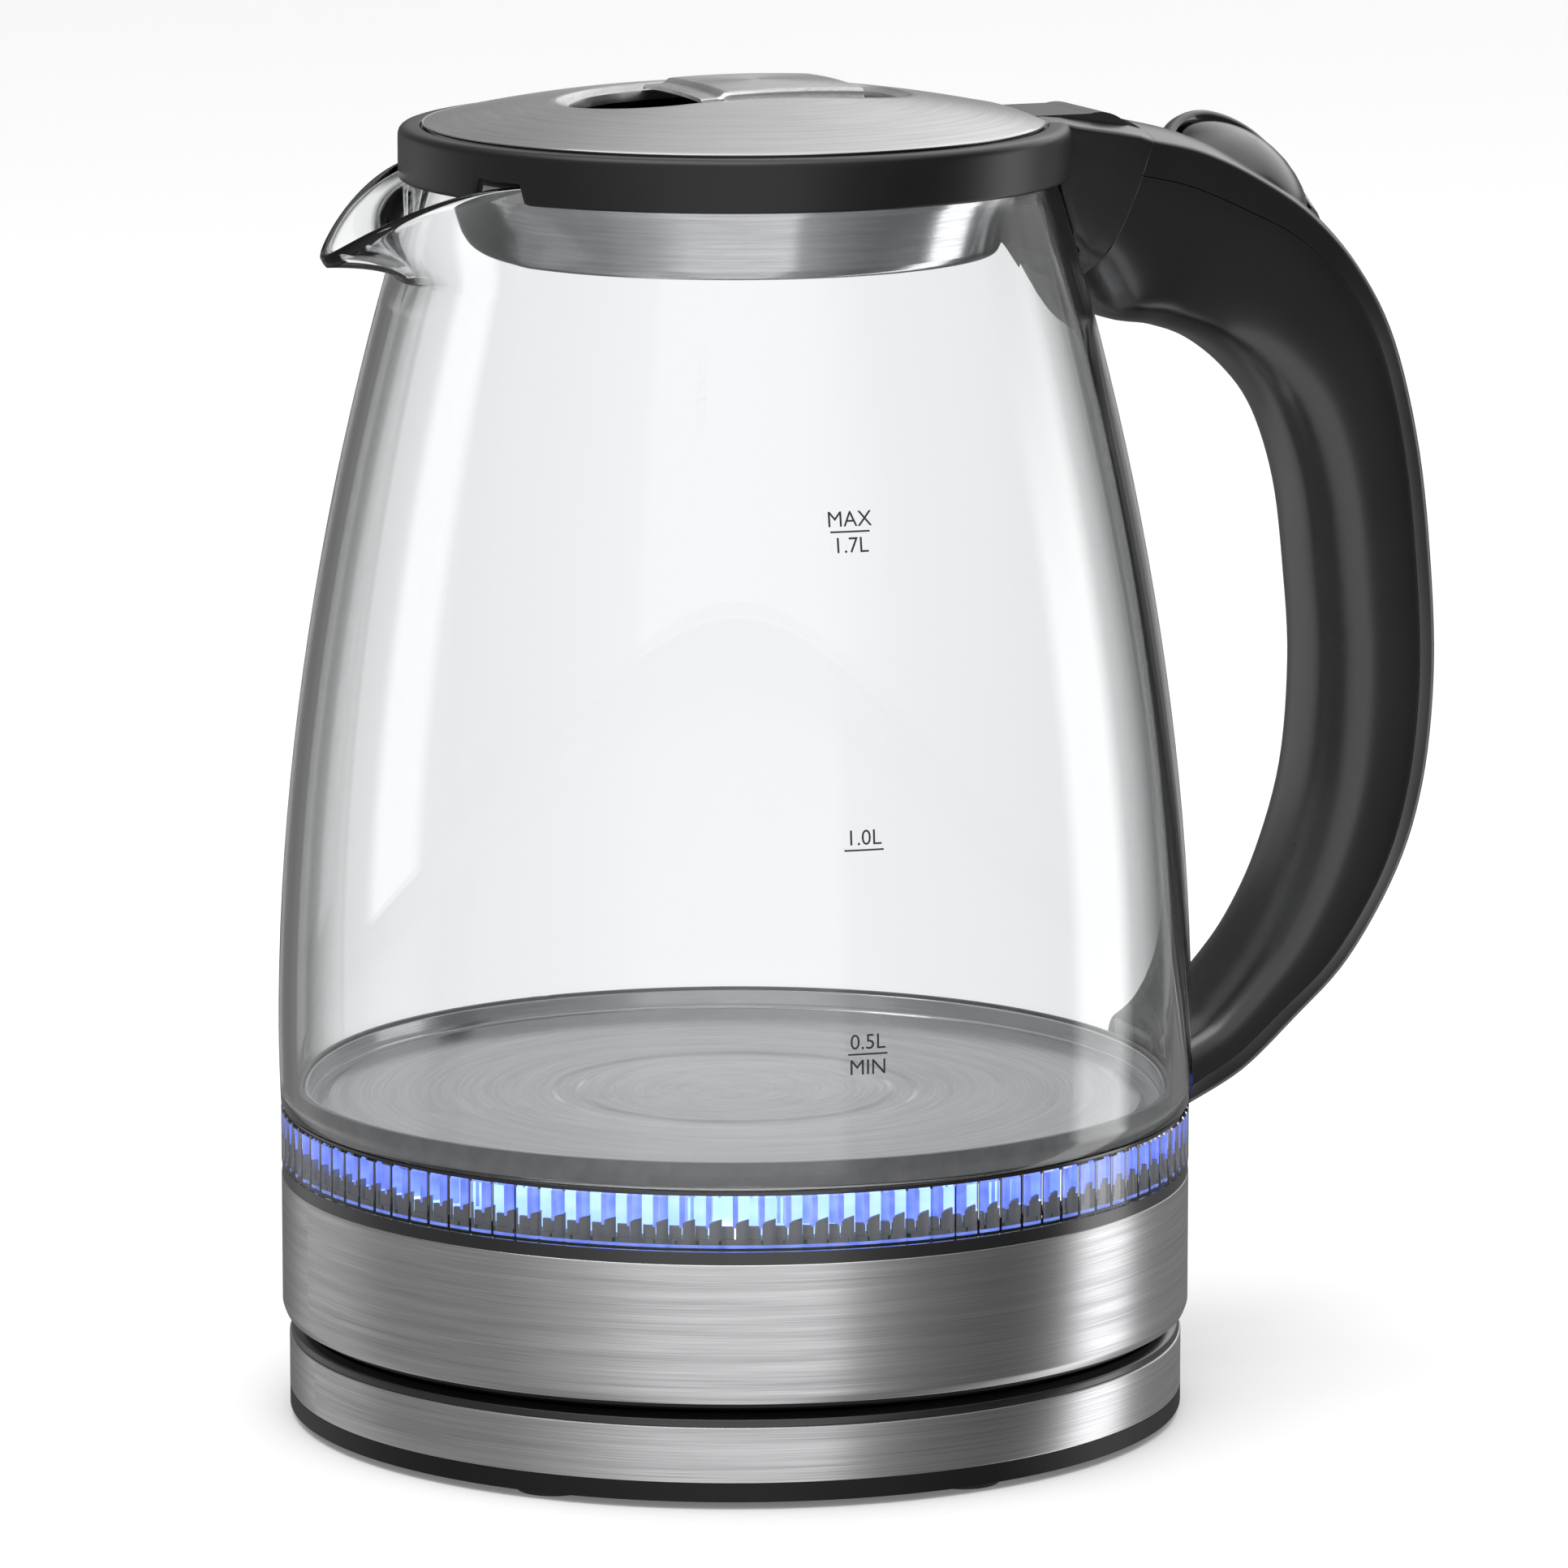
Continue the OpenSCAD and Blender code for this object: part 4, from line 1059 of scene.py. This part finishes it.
def make_button():
    """The domed oval button and its stem."""
    dome = [(0.05, 0.0, 0), (2, 0.4, 0), (4, 0.8, 0), (6, 1.1, 0), (7.6, 1.35, 0), (8.8, 1.5, 0.02),
            (9.6, 1.56, 0.1), (10.2, BUTTON_HALF_L, 0.35), (10.5, BUTTON_HALF_L, 0.7),
            (BUTTON_R, BUTTON_HALF_L, 1.2)]
    stem = [(BUTTON_R, BUTTON_HALF_L, -7.2), (4.4, 0, -7.2), (2.0, 0, -7.25), (2.0, 0, -9.5), (0.05, 0, -9.5)]

    def oval(radius, half_l):
        return [oval_point(k / OVAL_STEPS, radius, half_l) for k in range(OVAL_STEPS)]

    rows = [[on_button(x, y, dome_height(x, y) - sink) for x, y in oval(r, half_l)]
            for r, half_l, sink in dome]
    rows += [[on_button(x, y, z) for x, y in oval(r, half_l)] for r, half_l, z in stem]
    piece("button_cap", *grid(rows), "lid_button", gloss_black, "gloss_black", ["release_button"])


# ----- stage, light and camera

CAMERA_AZIMUTH = math.radians(21.7)
CAMERA_DISTANCE, CAMERA_HEIGHT = 1.5835, 0.3811
CAMERA_SPOT = Vector((-math.sin(CAMERA_AZIMUTH) * CAMERA_DISTANCE,
                      -math.cos(CAMERA_AZIMUTH) * CAMERA_DISTANCE, CAMERA_HEIGHT))
# The camera looks a little right of the axis, and down on the kettle's middle
CAMERA_TURN, CAMERA_PITCH = math.radians(0.289), math.radians(9.969)
LENS = 227.46


def make_camera():
    """The camera, at the photograph's angle and distance."""
    data = bpy.data.cameras.new("camera")
    data.lens = LENS
    data.sensor_width = 36.0
    data.clip_start, data.clip_end = 0.05, 50
    camera = bpy.data.objects.new("camera", data)
    bpy.context.scene.collection.objects.link(camera)
    camera.location = CAMERA_SPOT
    camera.rotation_euler = (math.pi / 2 - CAMERA_PITCH, 0, -CAMERA_AZIMUTH - CAMERA_TURN)
    bpy.context.scene.camera = camera


def make_floor():
    """A plain pale floor, left out of what glass and gloss show."""
    mesh = bpy.data.meshes.new("floor")
    reach = 12.0
    corners = [(-reach, -reach, 0), (reach, -reach, 0), (reach, reach, 0), (-reach, reach, 0)]
    mesh.from_pydata(corners, [], [(0, 1, 2, 3)])
    floor = bpy.data.objects.new("floor", mesh)
    bpy.context.scene.collection.objects.link(floor)
    n = Nodes("floor")
    n.put(Base_Color=(0.9, 0.9, 0.9, 1), Roughness=0.6, Specular_IOR_Level=0.1,
          Emission_Color=(1, 1, 1, 1), Emission_Strength=0.15)
    mesh.materials.append(n.material)
    floor.visible_glossy = False
    floor.visible_transmission = False


def make_studio():
    """A soft light tent, lit by the direction round the object and the height."""
    world = bpy.data.worlds.new("studio")
    bpy.context.scene.world = world
    world.use_nodes = True
    tree = world.node_tree
    link = tree.links.new

    def add(kind, **settings):
        node = tree.nodes.new(kind)
        for key, value in settings.items():
            setattr(node, key, value)
        return node

    def math_node(operation, *values):
        node = add("ShaderNodeMath", operation=operation)
        for socket, value in zip(node.inputs, values):
            if isinstance(value, (int, float)):
                socket.default_value = value
            else:
                link(value, socket)
        return node.outputs["Value"]

    def directions(levels):
        """Brightness by the direction round the object, from a list of (degrees, level)."""
        node = add("ShaderNodeValToRGB")
        elements = node.color_ramp.elements
        elements.remove(elements[1])
        for k, (degrees, level) in enumerate(levels):
            place = (degrees + 180) / 360
            element = elements.new(place) if k else elements[0]
            element.position = place
            element.color = (level, level, level, 1)
        link(share, node.inputs["Fac"])
        return node.outputs["Color"]

    def between(low, high):
        """A smooth step over the elevation, in degrees."""
        node = add("ShaderNodeMapRange", interpolation_type="SMOOTHSTEP")
        node.inputs["From Min"].default_value = math.sin(math.radians(low))
        node.inputs["From Max"].default_value = math.sin(math.radians(high))
        link(split.outputs["Z"], node.inputs["Value"])
        return node.outputs["Result"]

    def blend(factor, a, b):
        node = add("ShaderNodeMix", data_type="RGBA")
        link(factor, node.inputs["Factor"])
        for key, value in (("A", a), ("B", b)):
            if isinstance(value, float):
                node.inputs[key].default_value = (value, value, value, 1)
            else:
                link(value, node.inputs[key])
        return node.outputs["Result"]

    split = add("ShaderNodeSeparateXYZ")
    link(add("ShaderNodeTexCoord").outputs["Generated"], split.inputs["Vector"])
    front = math.atan2(CAMERA_SPOT.y, CAMERA_SPOT.x)
    angle = math_node("ARCTAN2", split.outputs["Y"], split.outputs["X"])
    turns = math_node("DIVIDE", math_node("SUBTRACT", angle, front), 2 * math.pi)
    share = math_node("FRACT", math_node("ADD", turns, 1.5))
    walls = blend(between(2, 14), directions(STUDIO_WALL), directions(STUDIO_UPPER))
    mirrored = blend(between(38, 60), walls, STUDIO_TOP)
    path = add("ShaderNodeLightPath")
    passed = blend(between(0, 14), directions(STUDIO_THROUGH), STUDIO_THROUGH_TOP)
    through = blend(path.outputs["Is Transmission Ray"], mirrored, passed)
    final = blend(path.outputs["Is Camera Ray"], through, STUDIO_BACKDROP)
    background = tree.nodes["Background"]
    link(final, background.inputs["Color"])
    background.inputs["Strength"].default_value = STUDIO_STRENGTH


# Brightness of the tent's wall by the direction from the camera's side: 0 is behind the camera,
# positive angles are on the object's right, and 180 is behind the object.
STUDIO_WALL = [(-180, 0.14), (-152, 0.2), (-138, 0.55), (-116, 0.5), (-100, 0.3), (-60, 0.3),
               (-36, 0.55), (-20, 0.9), (26, 1.0), (30, 0.4), (44, 0.22), (70, 0.12), (90, 0.14),
               (96, 0.4), (98, 2.0), (116, 2.0), (119, 0.35), (130, 0.25), (156, 0.2), (180, 0.14)]
# The same higher up
STUDIO_UPPER = [(-180, 0.6), (-172, 0.3), (-150, 0.14), (-120, 0.2), (-60, 0.3), (-20, 0.8), (30, 0.9),
                (46, 0.16), (70, 0.08), (100, 0.1), (120, 0.8), (145, 1.3), (166, 1.4), (180, 0.6)]
# What is seen straight through the glass
STUDIO_THROUGH = [(-180, 0.88), (-173, 0.84), (-167, 0.14), (-120, 0.06), (-100, 0.3), (-60, 0.28),
                  (-36, 0.5), (-20, 0.85), (26, 0.95), (30, 0.4), (44, 0.24), (70, 0.12), (90, 0.14),
                  (96, 0.4), (98, 2.0), (116, 2.0), (119, 0.12), (167, 0.14), (173, 0.84), (180, 0.88)]
STUDIO_THROUGH_TOP = 0.5
STUDIO_TOP = 1.1
STUDIO_BACKDROP = 0.98
STUDIO_STRENGTH = 1.1


def make_lights():
    """One large soft lamp over the object, for soft shadows on the floor."""
    data = bpy.data.lights.new("overhead", "AREA")
    data.shape = "RECTANGLE"
    data.size, data.size_y = 1.6, 1.2
    data.energy = 14
    lamp = bpy.data.objects.new("overhead", data)
    bpy.context.scene.collection.objects.link(lamp)
    lamp.location = (-0.3, -0.2, 1.7)
    lamp.rotation_euler = (Vector((0, 0, 0.1)) - lamp.location).to_track_quat("-Z", "Y").to_euler()
    lamp.visible_camera = False


make_camera()
carry_over()
make_base()
make_foot()
make_light_ring()
make_heating_plate()
make_glass()
make_marks()
make_collar()
make_lid()
make_handle()
make_lip()
make_button()
make_floor()
make_studio()
make_lights()
bpy.context.scene.view_settings.view_transform = "Standard"
